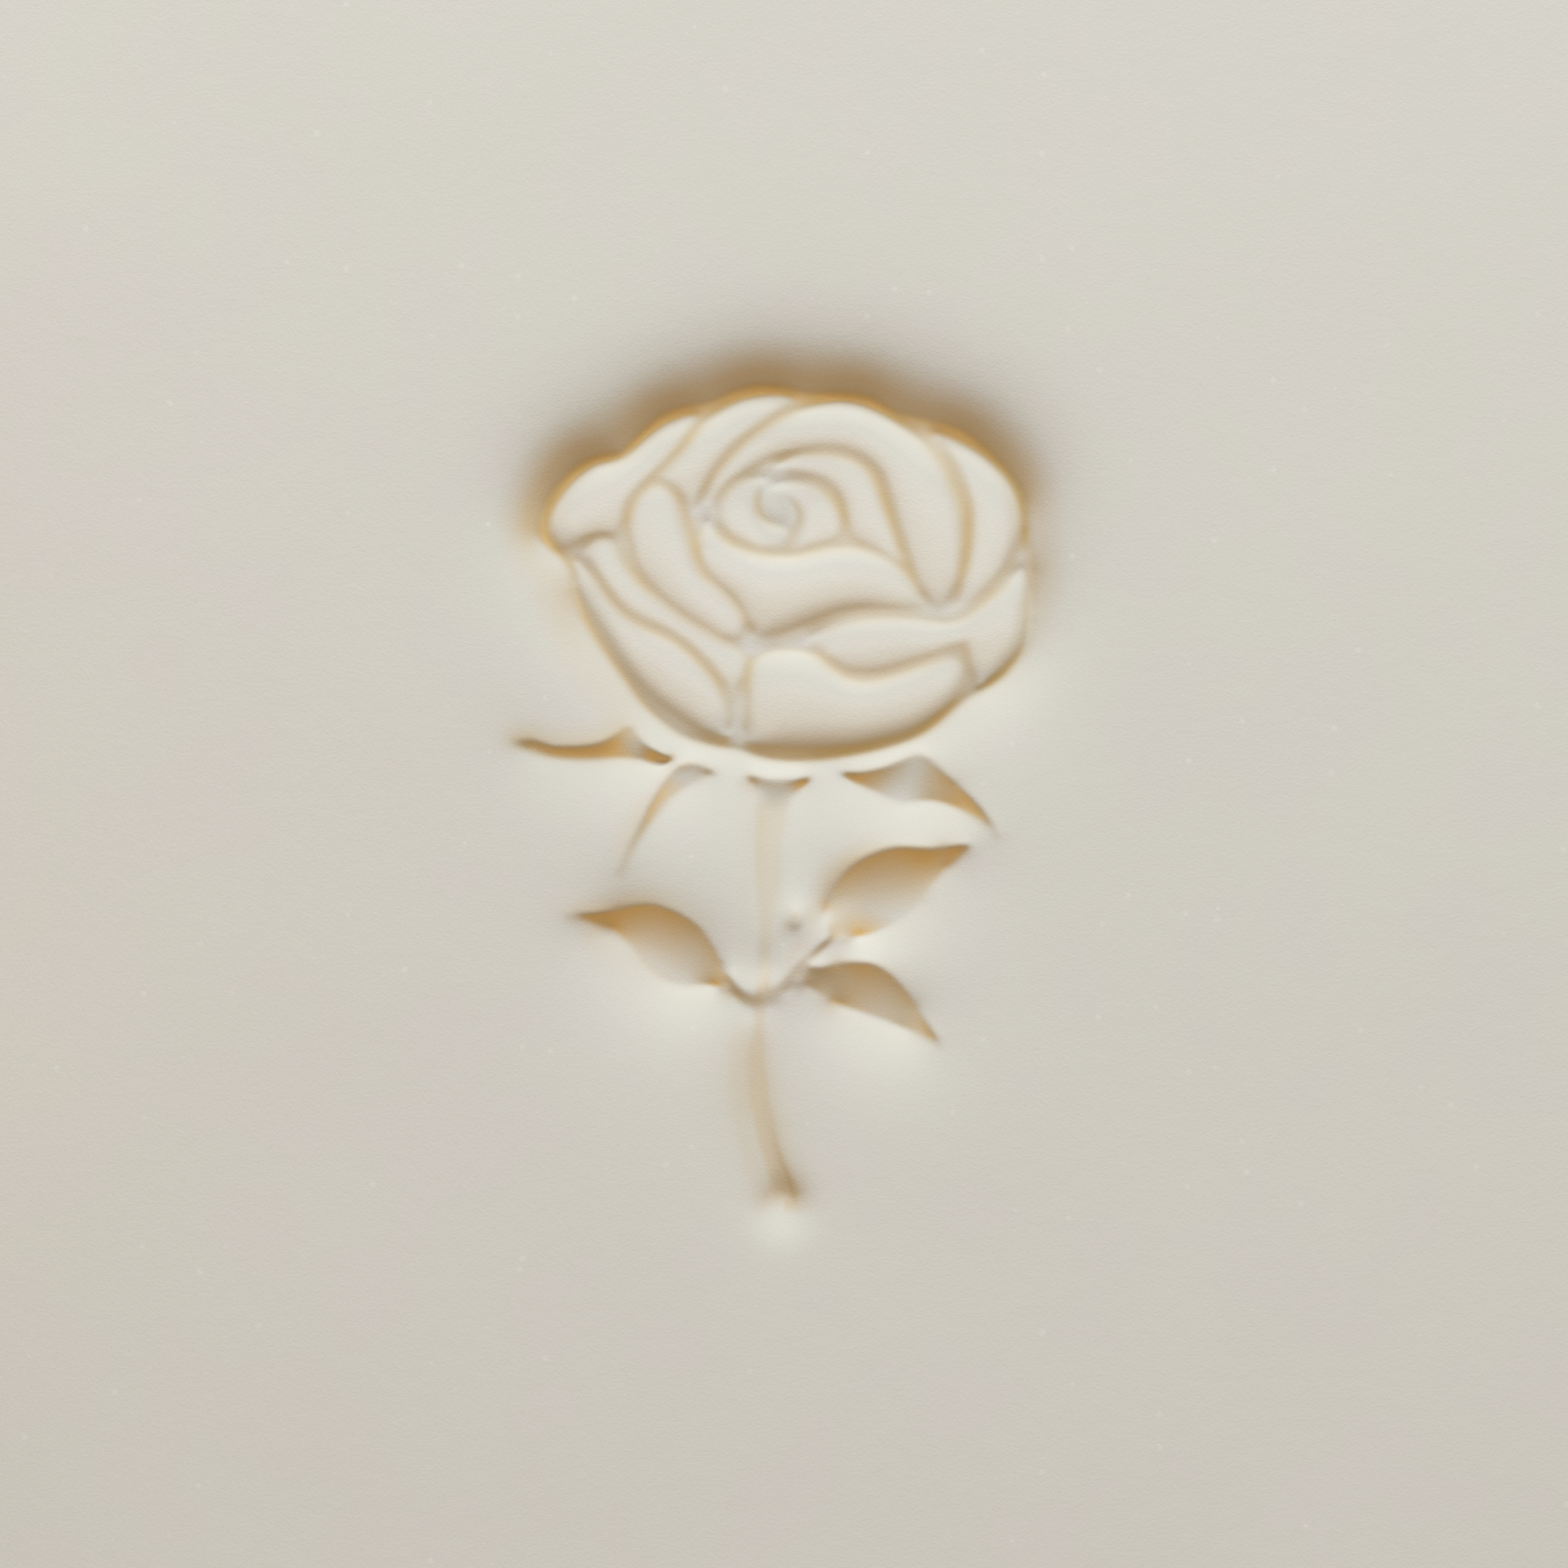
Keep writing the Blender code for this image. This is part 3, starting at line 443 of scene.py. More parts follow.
quarter_turn = [k * math.pi / 2 / RIM_STEPS for k in range(1, RIM_STEPS + 1)]
rim_profile = [(FACE_INSET * (1 - math.sin(turn)), clay_level - FACE_INSET * (1 - math.cos(turn)))
               for turn in quarter_turn]
side_drop = slab_size.z - FACE_INSET - BASE_INSET
rim_profile += [(0, clay_level - FACE_INSET - side_drop * k / RIM_STEPS)
                for k in range(1, RIM_STEPS + 1)]
rim_profile += [(BASE_INSET * (1 - math.cos(turn)), slab_low.z + BASE_INSET * (1 - math.sin(turn)))
                for turn in quarter_turn]
ring = [edge for edge in clay.edges if edge.is_boundary]
inset = FACE_INSET
for next_inset, height in rim_profile:
    extruded = bmesh.ops.extrude_edge_only(clay, edges=ring)["geom"]
    ring = [item for item in extruded if isinstance(item, bmesh.types.BMEdge)]
    for vert in {vert for edge in ring for vert in edge.verts}:
        vert.co.xy += outward(vert) * (inset - next_inset)
        vert.co.z = height
    inset = next_inset
bmesh.ops.edgeloop_fill(clay, edges=ring)
for near in refine_within:
    edges = []
    for edge in clay.edges:
        middle = (edge.verts[0].co + edge.verts[1].co) / 2
        if middle.z > clay_level - CELL and edge_of_mark.find(middle)[2] < near:
            edges.append(edge)
    bmesh.ops.subdivide_edges(clay, edges=edges, cuts=1, use_grid_fill=True,
                              use_single_edge=True)

# Each point of the face takes its height and its painted light and shade from the maps, and the
# sides waver as a knife leaves them.
# These maps are painted light and shade.
tint_maps = {"warm_shade": warm_shade_map, "crevice_shade": amber_shade_map, "lit_wall_shade": lit_slope_darkening, "petal_glow": petal_glow_map,
             "seam_shade": seam_shade_map, "hollow_shade": hollow_shade_map}
for name in tint_maps:
    clay.verts.layers.float.new(name)
cut_layer = clay.verts.layers.float.new("cut")
for vert in clay.verts:
    if vert.co.z < clay_level - CELL:
        place = Vector((vert.co.x, vert.co.y, vert.co.z / KNIFE_STRETCH))
        wobble = noise.noise(place / KNIFE_REACH) - 1
        share = share_between(clay_level - vert.co.z, 0, FACE_INSET)
        depth = share * share * (3 - 2 * share)
        vert.co.xy += outward(vert) * KNIFE_WOBBLE * wobble / 2 * depth
        vert[cut_layer] = depth
    else:
        vert.co.z += ROLLED_WAVE * noise.noise(Vector((vert.co.x, vert.co.y, 0)) / ROLLED_REACH)
marked = [vert for vert in clay.verts if vert.co.z > clay_level - CELL
          and abs(vert.co.x - mark_middle.x) < mark_size.x / 2 - 2 * CELL
          and abs(vert.co.y - mark_middle.y) < mark_size.y / 2 - 2 * CELL]
places = np.array([vert.co.xy for vert in marked])
for vert, height in zip(marked, map_at(height_map, places)):
    vert.co.z += height
for name, tint_map in tint_maps.items():
    layer = clay.verts.layers.float[name]
    for vert, value in zip(marked, map_at(tint_map, places)):
        vert[layer] = value


class Finish:
    """A value in a material's nodes. Arithmetic on it adds Math nodes."""

    def __init__(self, tree, socket=None):
        self.tree = tree
        self.socket = socket

    def add(self, kind, settings=(), sockets=(), output=0):
        """Any node: its settings first, and then the values and links of its sockets."""
        node = self.tree.nodes.new("ShaderNode" + kind)
        for name, value in dict(settings).items():
            setattr(node, name, value)
        for name, value in dict(sockets).items():
            if isinstance(value, Finish):
                self.tree.links.new(value.socket, node.inputs[name])
            else:
                node.inputs[name].default_value = value
        return Finish(self.tree, node.outputs[output])

    def math(self, operation, *values):
        """A Math node of one operation."""
        return self.add("Math", {"operation": operation}, enumerate(values))

    def __add__(self, other):
        return self.math("ADD", self, other)

    def __sub__(self, other):
        return self.math("SUBTRACT", self, other)

    def __rsub__(self, other):
        return self.math("SUBTRACT", other, self)

    def __mul__(self, other):
        return self.math("MULTIPLY", self, other)

    __radd__ = __add__
    __rmul__ = __mul__

    def ramp(self, low, high):
        """0 below the low value and 1 above the high one, with a smooth rise between."""
        return self.add("MapRange", {"interpolation_type": "SMOOTHSTEP"},
                        {"Value": self, "From Min": low, "From Max": high})

    def mixed(self, other, share):
        """A colour with a share of another colour mixed in."""
        return self.add("Mix", {"data_type": "RGBA"}, {0: share, 6: self, 7: other}, output=2)


def new_material(name, **constants):
    """A material, its shader and its object coordinates."""
    material = bpy.data.materials.new(name)
    material.use_nodes = True
    shader = material.node_tree.nodes["Principled BSDF"]
    for socket, value in constants.items():
        shader.inputs[socket.replace("_", " ")].default_value = value
    place = Finish(material.node_tree).add("TexCoord", output="Object")
    return material, shader, place


def plain(place, colour):
    """A plain colour, for other colours to be mixed into."""
    base = place.add("RGB")
    base.socket.default_value = colour
    return base


def drawn_out(place, rate):
    """Coordinates that run at another rate along z, which draws out or squeezes a pattern."""
    return place.add("Mapping", {}, {"Vector": place, "Scale": (1, 1, rate)})


def grain(place, size, detail=2, rough=0.5):
    """Noise between 0 and 1 with spots of about the given size."""
    return place.add("TexNoise", {}, {"Vector": place, "Scale": 1 / size, "Detail": detail,
                                      "Roughness": rough})


FLECK_CORE = 0.55
FLECK_FULL = 0.9


def flecks(place, spacing, radius, share):
    """Round spots of one size, with soft rims, in a share of the cells of a random pattern."""
    cells = {"Vector": place, "Scale": 1 / spacing}
    distance = place.add("TexVoronoi", {}, cells)
    near = 1 - distance.ramp(radius * FLECK_CORE / spacing, radius / spacing)
    pick = place.add("SeparateColor", {}, {
        "Color": place.add("TexVoronoi", {}, cells, output="Color")})
    return near * pick.ramp(1 - share, 1.001 - share * FLECK_FULL)


def finish_surface(shader, colour, roughness=None, bump=None, bump_depth=0):
    """Links a colour, a roughness and a height to a shader."""
    tree = colour.tree
    tree.links.new(colour.socket, shader.inputs["Base Color"])
    if roughness:
        tree.links.new(roughness.socket, shader.inputs["Roughness"])
    if bump:
        raised = bump.add("Bump", {}, {"Height": bump, "Distance": bump_depth})
        tree.links.new(raised.socket, shader.inputs["Normal"])


def make_piece(bm, name, body, material, nodes, sharp):
    """A finished mesh as a piece that rides on a body in place of some nodes.

    Its edges look sharp where they turn by more than the given degrees.
    """
    mesh = bpy.data.meshes.new(name)
    bm.to_mesh(mesh)
    bm.free()
    mesh.shade_smooth()
    mesh.set_sharp_from_angle(angle=math.radians(sharp))
    mesh.materials.append(material)
    piece = bpy.data.objects.new(name, mesh)
    bpy.context.scene.collection.objects.link(piece)
    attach(piece, body)
    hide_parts(*nodes)


# The clay is matt and cream, clouded with pink, and the maps paint light and shade over the
# pressed mark. Its flecks have a spacing, a radius and a share of the places that hold one.
# Cream, pink, pale and speck are the clay's own colours; tan is the knife marks of the cut sides
# and also painted warm shade; the other tint colours are painted light and shade.
clay_cream = (0.640, 0.632, 0.567, 1)
clay_pink = (0.645, 0.627, 0.575, 1)
clay_tan = (0.60, 0.50, 0.345, 1)
clay_petal_glow = (0.83, 0.80, 0.705, 1)
clay_amber_shade = (0.80, 0.54, 0.21, 1)
clay_seam_shade = (0.44, 0.32, 0.145, 1)
clay_hollow_shade = (0.58, 0.455, 0.265, 1)
clay_lit_wall_shade = (0.595, 0.57, 0.495, 1)
clay_pale = (0.72, 0.71, 0.66, 1)
clay_speck = (0.22, 0.17, 0.12, 1)
CLAY_CLOUD = 0.006
KNIFE_SQUEEZE = 12
CLAY_GRIT = 0.00013
CLAY_LUMP = 0.0011
CLAY_RELIEF = 0.00002
pale_flecks = (0.0016, 0.00022, 0.25)
dark_specks = (0.0065, 0.00012, 0.22)

clay_material, clay_shader, clay_place = new_material(
    "stoneware_clay", Roughness=0.9, Specular_IOR_Level=0.2)
cut = clay_place.add("Attribute", {"attribute_name": "cut"}, output="Fac")
cloud = grain(clay_place, CLAY_CLOUD, detail=3)
knife = grain(drawn_out(clay_place, KNIFE_SQUEEZE), CLAY_CLOUD, detail=4)
colour = plain(clay_place, clay_cream).mixed(clay_pink, cloud.ramp(0.45, 0.6))
colour = colour.mixed(clay_tan, knife.ramp(0.45, 0.7) * cut * 0.3)
colour = colour.mixed(clay_pale, flecks(clay_place, *pale_flecks) * 0.5)
colour = colour.mixed(clay_speck, flecks(clay_place, *dark_specks) * 0.7)
# The painted light and shade from the maps go over the clay's own colours.
for name, tint in (("petal_glow", clay_petal_glow), ("lit_wall_shade", clay_lit_wall_shade), ("warm_shade", clay_tan),
                   ("hollow_shade", clay_hollow_shade), ("seam_shade", clay_seam_shade), ("crevice_shade", clay_amber_shade)):
    colour = colour.mixed(tint, clay_place.add("Attribute", {"attribute_name": name},
                                               output="Fac"))
clay_bump = (0.7 * grain(clay_place, CLAY_GRIT, detail=3) + 0.6 * grain(clay_place, CLAY_LUMP)
             + 8 * knife * cut)
finish_surface(clay_shader, colour, 0.84 + 0.12 * cloud, clay_bump, CLAY_RELIEF)
bmesh.ops.recalc_face_normals(clay, faces=clay.faces[:])
make_piece(clay, "clay_slab_face", "slab", clay_material, ["clay_slab"], sharp=180)

# The die is a plate of cast ivory resin with the lines of the rose standing on it, still
# dusty with clay. The stamp leans on its block and its handle, so its pieces are made
# upright in its own frame, from the tips of the die at height 0, and then laid in place.
TIP_ROUND = 0.00009
FACING_DOWN = -0.9
WELD = 0.000001

die_corners = [vert.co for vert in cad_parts["rose_die"].data.vertices]
die_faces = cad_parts["rose_die"].data.polygons
upright = max(die_faces, key=lambda face: face.area).normal.copy()
if upright.y < 0:
    upright.negate()
rightward = Vector((-1, 0, 0))
stud_low, stud_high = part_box("handle_stud")
stud_middle = (stud_low + stud_high) / 2
tips = min(upright.dot(corner) for corner in die_corners)
stamp_frame = Matrix((rightward, upright.cross(rightward), upright)).transposed().to_4x4()
stamp_frame.translation = stud_middle - upright * (upright.dot(stud_middle) - tips)
to_own = stamp_frame.inverted()


def own_reach(node):
    """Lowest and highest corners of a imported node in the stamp's own frame."""
    corners = [to_own @ vert.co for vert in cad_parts[node].data.vertices]
    return Vector(map(min, zip(*corners))), Vector(map(max, zip(*corners)))


def lay_piece(bm, name, material, nodes, sharp):
    """A piece made in the stamp's own frame, laid in place on the slab."""
    bmesh.ops.transform(bm, matrix=stamp_frame, verts=bm.verts[:])
    bmesh.ops.recalc_face_normals(bm, faces=bm.faces[:])
    make_piece(bm, name, "stamp", material, nodes, sharp)


die = bmesh.new()
die.from_mesh(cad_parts["rose_die"].data)
bmesh.ops.transform(die, matrix=to_own, verts=die.verts[:])
bmesh.ops.remove_doubles(die, verts=die.verts[:], dist=WELD)
tip_faces = [face for face in die.faces
             if face.normal.z < FACING_DOWN and face.calc_center_median().z < TIP_ROUND]
tip_rim = {vert for face in tip_faces for edge in face.edges for vert in edge.verts
           if any(other not in tip_faces for other in edge.link_faces)}
bmesh.ops.inset_region(die, faces=tip_faces, thickness=TIP_ROUND, use_boundary=True)
for vert in tip_rim:
    vert.co.z += TIP_ROUND

resin_ivory = (0.82, 0.75, 0.61, 1)
resin_warm = (0.80, 0.72, 0.57, 1)
die_clay = (0.74, 0.70, 0.61, 1)
RESIN_CLOUD = 0.006
CLAY_SMEAR = 0.0022
RESIN_RELIEF = 0.00001

resin_material, resin_shader, resin_place = new_material(
    "cast_resin", Roughness=0.45, Coat_Weight=0.15, Coat_Roughness=0.3)
cloud = grain(resin_place, RESIN_CLOUD)
smear = grain(resin_place, CLAY_SMEAR, detail=5, rough=0.7).ramp(0.48, 0.62)
colour = plain(resin_place, resin_ivory).mixed(resin_warm, cloud.ramp(0.35, 0.7))
colour = colour.mixed(die_clay, smear * 0.5)
finish_surface(resin_shader, colour, 0.38 + 0.3 * smear, smear, RESIN_RELIEF)
lay_piece(die, "rose_die_relief", resin_material, ["rose_die"], sharp=40)

# The block is an oblong of beech with its corners and edges rounded by hand, its grain along
# the rose. It is bored for the tee nut behind the plate, and drilled for the four screws.
BLOCK_CORNER = 0.005
BLOCK_EDGE = 0.0013
SCREW_INSET = 0.004
CUT_PAST = 0.001
PILOT_RADIUS = 0.0013
PILOT_DEPTH = 0.0062
FLANGE_RADIUS = 0.0081
FLANGE_DEPTH = 0.0020
BARREL_RADIUS = 0.0046
BARREL_DEPTH = 0.015
tee_bore = ((0, -CUT_PAST), (FLANGE_RADIUS, -CUT_PAST), (FLANGE_RADIUS, FLANGE_DEPTH),
            (BARREL_RADIUS, FLANGE_DEPTH), (BARREL_RADIUS, BARREL_DEPTH), (0, BARREL_DEPTH))
pilot_bore = ((0, -CUT_PAST), (PILOT_RADIUS, -CUT_PAST), (PILOT_RADIUS, PILOT_DEPTH),
              (0, PILOT_DEPTH))


def turned(profile, steps, closed=False):
    """A shape turned on a lathe from points given as radius and height."""
    bm = bmesh.new()
    verts = [bm.verts.new((radius, 0, height)) for radius, height in profile]
    edges = [bm.edges.new(pair) for pair in zip(verts, verts[1:])]
    if closed:
        edges.append(bm.edges.new((verts[-1], verts[0])))
    bmesh.ops.spin(bm, geom=verts + edges, cent=(0, 0, 0), axis=(0, 0, 1), dvec=(0, 0, 0),
                   angle=2 * math.pi, steps=steps, use_merge=True)
    bmesh.ops.remove_doubles(bm, verts=bm.verts[:], dist=WELD)
    bmesh.ops.recalc_face_normals(bm, faces=bm.faces[:])
    return bm


def cut_away(blank, *cutters):
    """A blank with the shapes of some cutters taken out of it."""
    objects = []
    for shape in (blank, *cutters):
        mesh = bpy.data.meshes.new("cut")
        shape.to_mesh(mesh)
        shape.free()
        objects.append(bpy.data.objects.new("cut", mesh))
        bpy.context.scene.collection.objects.link(objects[-1])
    for cutter in objects[1:]:
        modifier = objects[0].modifiers.new("cut", "BOOLEAN")
        modifier.operation = "DIFFERENCE"
        modifier.object = cutter
    result = bmesh.new()
    result.from_object(objects[0], bpy.context.evaluated_depsgraph_get())
    for item in objects:
        bpy.data.meshes.remove(item.data)
    return result


block_low, block_high = own_reach("mount_block")
plate_low, plate_high = own_reach("rose_die")
screw_spots = [Vector((x, y, 0)) for y in (plate_high.y - SCREW_INSET, plate_low.y + SCREW_INSET)
               for x in (plate_low.x + SCREW_INSET, plate_high.x - SCREW_INSET)]
block = bmesh.new()
bmesh.ops.create_cube(block, size=1)
bmesh.ops.scale(block, vec=block_high - block_low, verts=block.verts[:])
bmesh.ops.translate(block, vec=(block_high + block_low) / 2, verts=block.verts[:])
for stands, rounding, segments in ((True, BLOCK_CORNER, 10), (False, BLOCK_EDGE, 5)):
    edges = [edge for edge in block.edges
             if (abs(edge.verts[0].co.z - edge.verts[1].co.z) > WELD) == stands]
    bmesh.ops.bevel(block, geom=edges, offset=rounding, segments=segments, profile=0.5,
                    affect="EDGES", material=-1)
bores = [(Vector((0, 0, 0)), tee_bore, 48)] + [(spot, pilot_bore, 24) for spot in screw_spots]
cutters = []
for spot, bore, steps in bores:
    cutters.append(turned(bore, steps))
    bmesh.ops.translate(cutters[-1], vec=(spot.x, spot.y, block_low.z),
                        verts=cutters[-1].verts[:])
block = cut_away(block, *cutters)

beech_mid = (0.60, 0.38, 0.20, 1)
beech_light = (0.68, 0.46, 0.27, 1)
beech_dark = (0.40, 0.22, 0.105, 1)
beech_fleck = (0.30, 0.15, 0.07, 1)
WOOD_CLOUD = 0.02
RING_SCALE = 130
FIBRE_SIZE = 0.00022
FIBRE_RATE = 0.03
STREAK_SIZE = 0.0015
STREAK_RATE = 0.06
dash_flecks = (0.00042, 0.00013, 0.55)
DASH_RATE = 0.16
WOOD_RELIEF = 0.00003


def in_frame(place, own_frame):
    """Object coordinates turned into those of a piece's own frame."""
    return place.add("Mapping", {"vector_type": "TEXTURE"}, {
        "Vector": place, "Location": own_frame.translation,
        "Rotation": Vector(own_frame.to_euler())})


def beech(name, wood_frame):
    """Oiled beech with its grain along a frame's z axis, and its rings round the same axis."""
    material, shader, place = new_material(
        name, Roughness=0.42, Coat_Weight=0.12, Coat_Roughness=0.25)
    place = in_frame(place, wood_frame)
    cloud = grain(place, WOOD_CLOUD)
    rings = place.add("TexWave", {"wave_type": "RINGS", "rings_direction": "Z"}, {
        "Vector": place, "Scale": RING_SCALE, "Distortion": 5, "Detail": 3, "Detail Scale": 0.4})
    fibre = grain(drawn_out(place, FIBRE_RATE), FIBRE_SIZE, detail=3)
    streak = grain(drawn_out(place, STREAK_RATE), STREAK_SIZE, detail=3)
    dashes = flecks(drawn_out(place, DASH_RATE), *dash_flecks)
    colour = plain(place, beech_mid).mixed(beech_light, cloud.ramp(0.35, 0.7) * 0.6)
    colour = colour.mixed(beech_dark, rings.ramp(0.6, 1.0) * 0.16)
    colour = colour.mixed(beech_dark, streak.ramp(0.5, 0.75) * 0.3)
    colour = colour.mixed(beech_light, fibre.ramp(0.5, 0.8) * 0.4)
    colour = colour.mixed(beech_fleck, dashes * 0.75)
    finish_surface(shader, colour, 0.36 + 0.2 * streak, fibre - 0.5 * dashes, WOOD_RELIEF)
    return material


block_pith = Matrix.Translation((0.031, 0.006, 0.044))
block_grain = stamp_frame @ block_pith @ Matrix.Rotation(math.radians(-90), 4, "X")
lay_piece(block, "mount_block_beech", beech("beech_block", block_grain),
          ["mount_block"], sharp=30)

# Four slotted brass wood screws hold the plate to the block. Their heads sit in countersunk
# holes, and each slot stays as the last turn of the driver left it.
SCREW_RADIUS = 0.0020
SCREW_RIM = 0.0002
SCREW_HEAD = 0.0012
SCREW_SHANK = 0.0010
SCREW_CROWN = 0.00012
crown_shares = (0, 0.5, 0.8)
screw_edge = (0.00005, 0.00006)
THREAD_PITCH = 0.0009
THREAD_DEPTH = 0.00022
thread_crest_shares = (0.5, 0.6)
SCREW_POINT = 0.0012
slot_size = Vector((0.006, 0.0005, 0.0012))
slot_turns = [math.radians(turn) for turn in (24, 71, -38, 152)]

brass_bright = (0.80, 0.60, 0.29, 1)
brass_worn = (0.62, 0.42, 0.19, 1)
TOOL_LINE = 0.00009
TOOL_RELIEF = 0.000012
DULL_SPOT = 0.0016


def brass(name, axis_frame, lines, dulled=0.35):
    """Turned brass with dull spots, and fine tool lines as rings on a face or round a side."""
    material, shader, place = new_material(name, Metallic=1.0, Roughness=0.3)
    place = in_frame(place, axis_frame)
    if lines == "face":
        level = place.add("VectorMath", {"operation": "MULTIPLY"}, {0: place, 1: (1, 1, 0)})
        across = place.add("VectorMath", {"operation": "LENGTH"}, {0: level}, output="Value")
    else:
        across = place.add("SeparateXYZ", {}, {"Vector": place}, output="Z")
    tool_lines = place.add("TexNoise", {"noise_dimensions": "1D"},
                           {"W": across, "Scale": 1 / TOOL_LINE, "Detail": 2})
    dull = grain(place, DULL_SPOT, detail=4).ramp(0.45, 0.7)
    colour = plain(place, brass_bright).mixed(brass_worn, dull * dulled)
    finish_surface(shader, colour, 0.22 + 0.22 * dull + 0.08 * tool_lines, tool_lines,
                   TOOL_RELIEF)
    return material


screw_top, screw_tip = (corner.z for corner in own_reach("die_screw_1"))
screw_length = screw_tip - screw_top
profile = [(SCREW_RADIUS * share, SCREW_CROWN * share ** 2) for share in crown_shares]
profile += [(SCREW_RADIUS - screw_edge[0], SCREW_CROWN),
            (SCREW_RADIUS, SCREW_CROWN + screw_edge[1]),
            (SCREW_RADIUS, SCREW_RIM), (SCREW_SHANK, SCREW_HEAD)]
crest, foot = (THREAD_PITCH * share for share in thread_crest_shares)
thread = SCREW_HEAD + THREAD_PITCH
while thread < screw_length - SCREW_POINT - THREAD_PITCH:
    profile += [(SCREW_SHANK - THREAD_DEPTH, thread), (SCREW_SHANK, thread + crest),
                (SCREW_SHANK - THREAD_DEPTH, thread + foot)]
    thread += THREAD_PITCH
profile += [(SCREW_SHANK - THREAD_DEPTH, screw_length - SCREW_POINT), (0, screw_length)]
screw_blank = turned(profile, steps=40)
slot_cut = bmesh.new()
bmesh.ops.create_cube(slot_cut, size=1)
bmesh.ops.scale(slot_cut, vec=slot_size, verts=slot_cut.verts[:])
screw_blank = cut_away(screw_blank, slot_cut)
for number, (spot, turn) in enumerate(zip(screw_spots, slot_turns), start=1):
    screw = screw_blank.copy()
    bmesh.ops.rotate(screw, cent=(0, 0, 0), matrix=Matrix.Rotation(turn, 3, "Z"),
                     verts=screw.verts[:])
    bmesh.ops.translate(screw, vec=spot + Vector((0, 0, screw_top)), verts=screw.verts[:])
    screw_frame = stamp_frame @ Matrix.Translation(spot)
    lay_piece(screw, f"brass_screw_{number}",
              brass(f"screw_brass_{number}", screw_frame, "face", 0.6),
              [f"die_screw_{number}"], sharp=30)
screw_blank.free()

# A steel tee nut sits behind the plate, and a steel stud runs from it up into a brass insert
# in the handle. All three are hidden inside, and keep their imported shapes.
steel_bright = (0.56, 0.57, 0.58, 1)
steel_dull = (0.40, 0.40, 0.40, 1)
STEEL_CLOUD = 0.002
STEEL_RELIEF = 0.00001

steel_material, steel_shader, steel_place = new_material(
    "zinc_steel", Metallic=1.0, Roughness=0.35)
cloud = grain(steel_place, STEEL_CLOUD, detail=3)
colour = plain(steel_place, steel_bright).mixed(steel_dull, cloud.ramp(0.4, 0.7) * 0.6)
finish_surface(steel_shader, colour, 0.28 + 0.2 * cloud, cloud, STEEL_RELIEF)
for node, material in (("tee_nut", steel_material), ("handle_stud", steel_material),
                       ("handle_insert", brass("insert_brass", stamp_frame, "side"))):
    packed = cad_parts[node]
    packed.data.materials.clear()
    packed.data.materials.append(material)

# The washer is a turned brass ring between the block and the foot of the handle, with its
# outer edge rounded over.
WASHER_EDGE = 0.0005
WASHER_CHAMFER = 0.0001
STUD_BORE = 0.0033
EDGE_STEPS = 6


def arc(radius, height, size, start, end):
    """Points of an arc about a middle, from one angle in degrees to another."""
    turns = [math.radians(start + (end - start) * k / EDGE_STEPS) for k in range(EDGE_STEPS + 1)]
    return [(radius + size * math.cos(turn), height + size * math.sin(turn)) for turn in turns]


low, high = own_reach("rosette_washer")
washer_radius = (high.x - low.x) / 2
washer = turned(
    [(STUD_BORE, low.z), (washer_radius - WASHER_CHAMFER, low.z),
     (washer_radius, low.z + WASHER_CHAMFER)]
    + arc(washer_radius - WASHER_EDGE, high.z - WASHER_EDGE, WASHER_EDGE, 0, 90)
    + [(STUD_BORE, high.z)], steps=96, closed=True)
lay_piece(washer, "brass_washer", brass("washer_brass", stamp_frame, "face"),
          ["rosette_washer"], sharp=35)

# The ferrule is a short brass tube pressed over the neck of the handle, rolled into a bead
# at each end.
BEAD = 0.0005
FERRULE_BORE = 0.0079
low, high = own_reach("ferrule")
ferrule_outside = (high.x - low.x) / 2 - BEAD
ferrule = turned(
    [(FERRULE_BORE, low.z)] + arc(ferrule_outside, low.z + BEAD, BEAD, -90, 90)
    + arc(ferrule_outside, high.z - BEAD, BEAD, -90, 90) + [(FERRULE_BORE, high.z)],
    steps=96, closed=True)
lay_piece(ferrule, "brass_ferrule", brass("ferrule_brass", stamp_frame, "side"),
          ["ferrule"], sharp=35)

# The handle is turned from one piece of beech: a neck for the ferrule, a waist for the
# fingers and a round belly for the palm. It is oiled, and bored for the stud and the button.
NECK_RADIUS = 0.0076
NECK_CHAMFER = 0.0004
NECK_END = 0.0318
INSERT_BORE = 0.0049
INSERT_END = 0.0391
STUD_END = 0.0485
SHANK_BORE = 0.0019
SHANK_END = 0.0732
handle_height_shares = (
    0, .020, .045, .075, .110, .170, .255, .350, .445, .540, .640, .725, .805, .885, .945,
    .985, 1.0)
handle_radius_shares = (
    .620, .655, .660, .610, .545, .510, .535, .640, .775, .900, .980, 1.0, .970, .870, .700,
    .500, .400)
CURVE_STEPS = 5


def rounded_line(points):
    """A smooth line through points, which keeps its first and last point."""
    spaced = [points[0], *points, points[-1]]
    line = []
    for before, start, end, after in zip(spaced, spaced[1:], spaced[2:], spaced[3:]):
        before, start, end, after = map(Vector, (before, start, end, after))
        for k in range(CURVE_STEPS):
            t = k / CURVE_STEPS
            line.append(tuple(((-t + 2 * t * t - t ** 3) * before
                               + (2 - 5 * t * t + 3 * t ** 3) * start
                               + (t + 4 * t * t - 3 * t ** 3) * end
                               + (t ** 3 - t * t) * after) / 2))
    return line + [points[-1]]


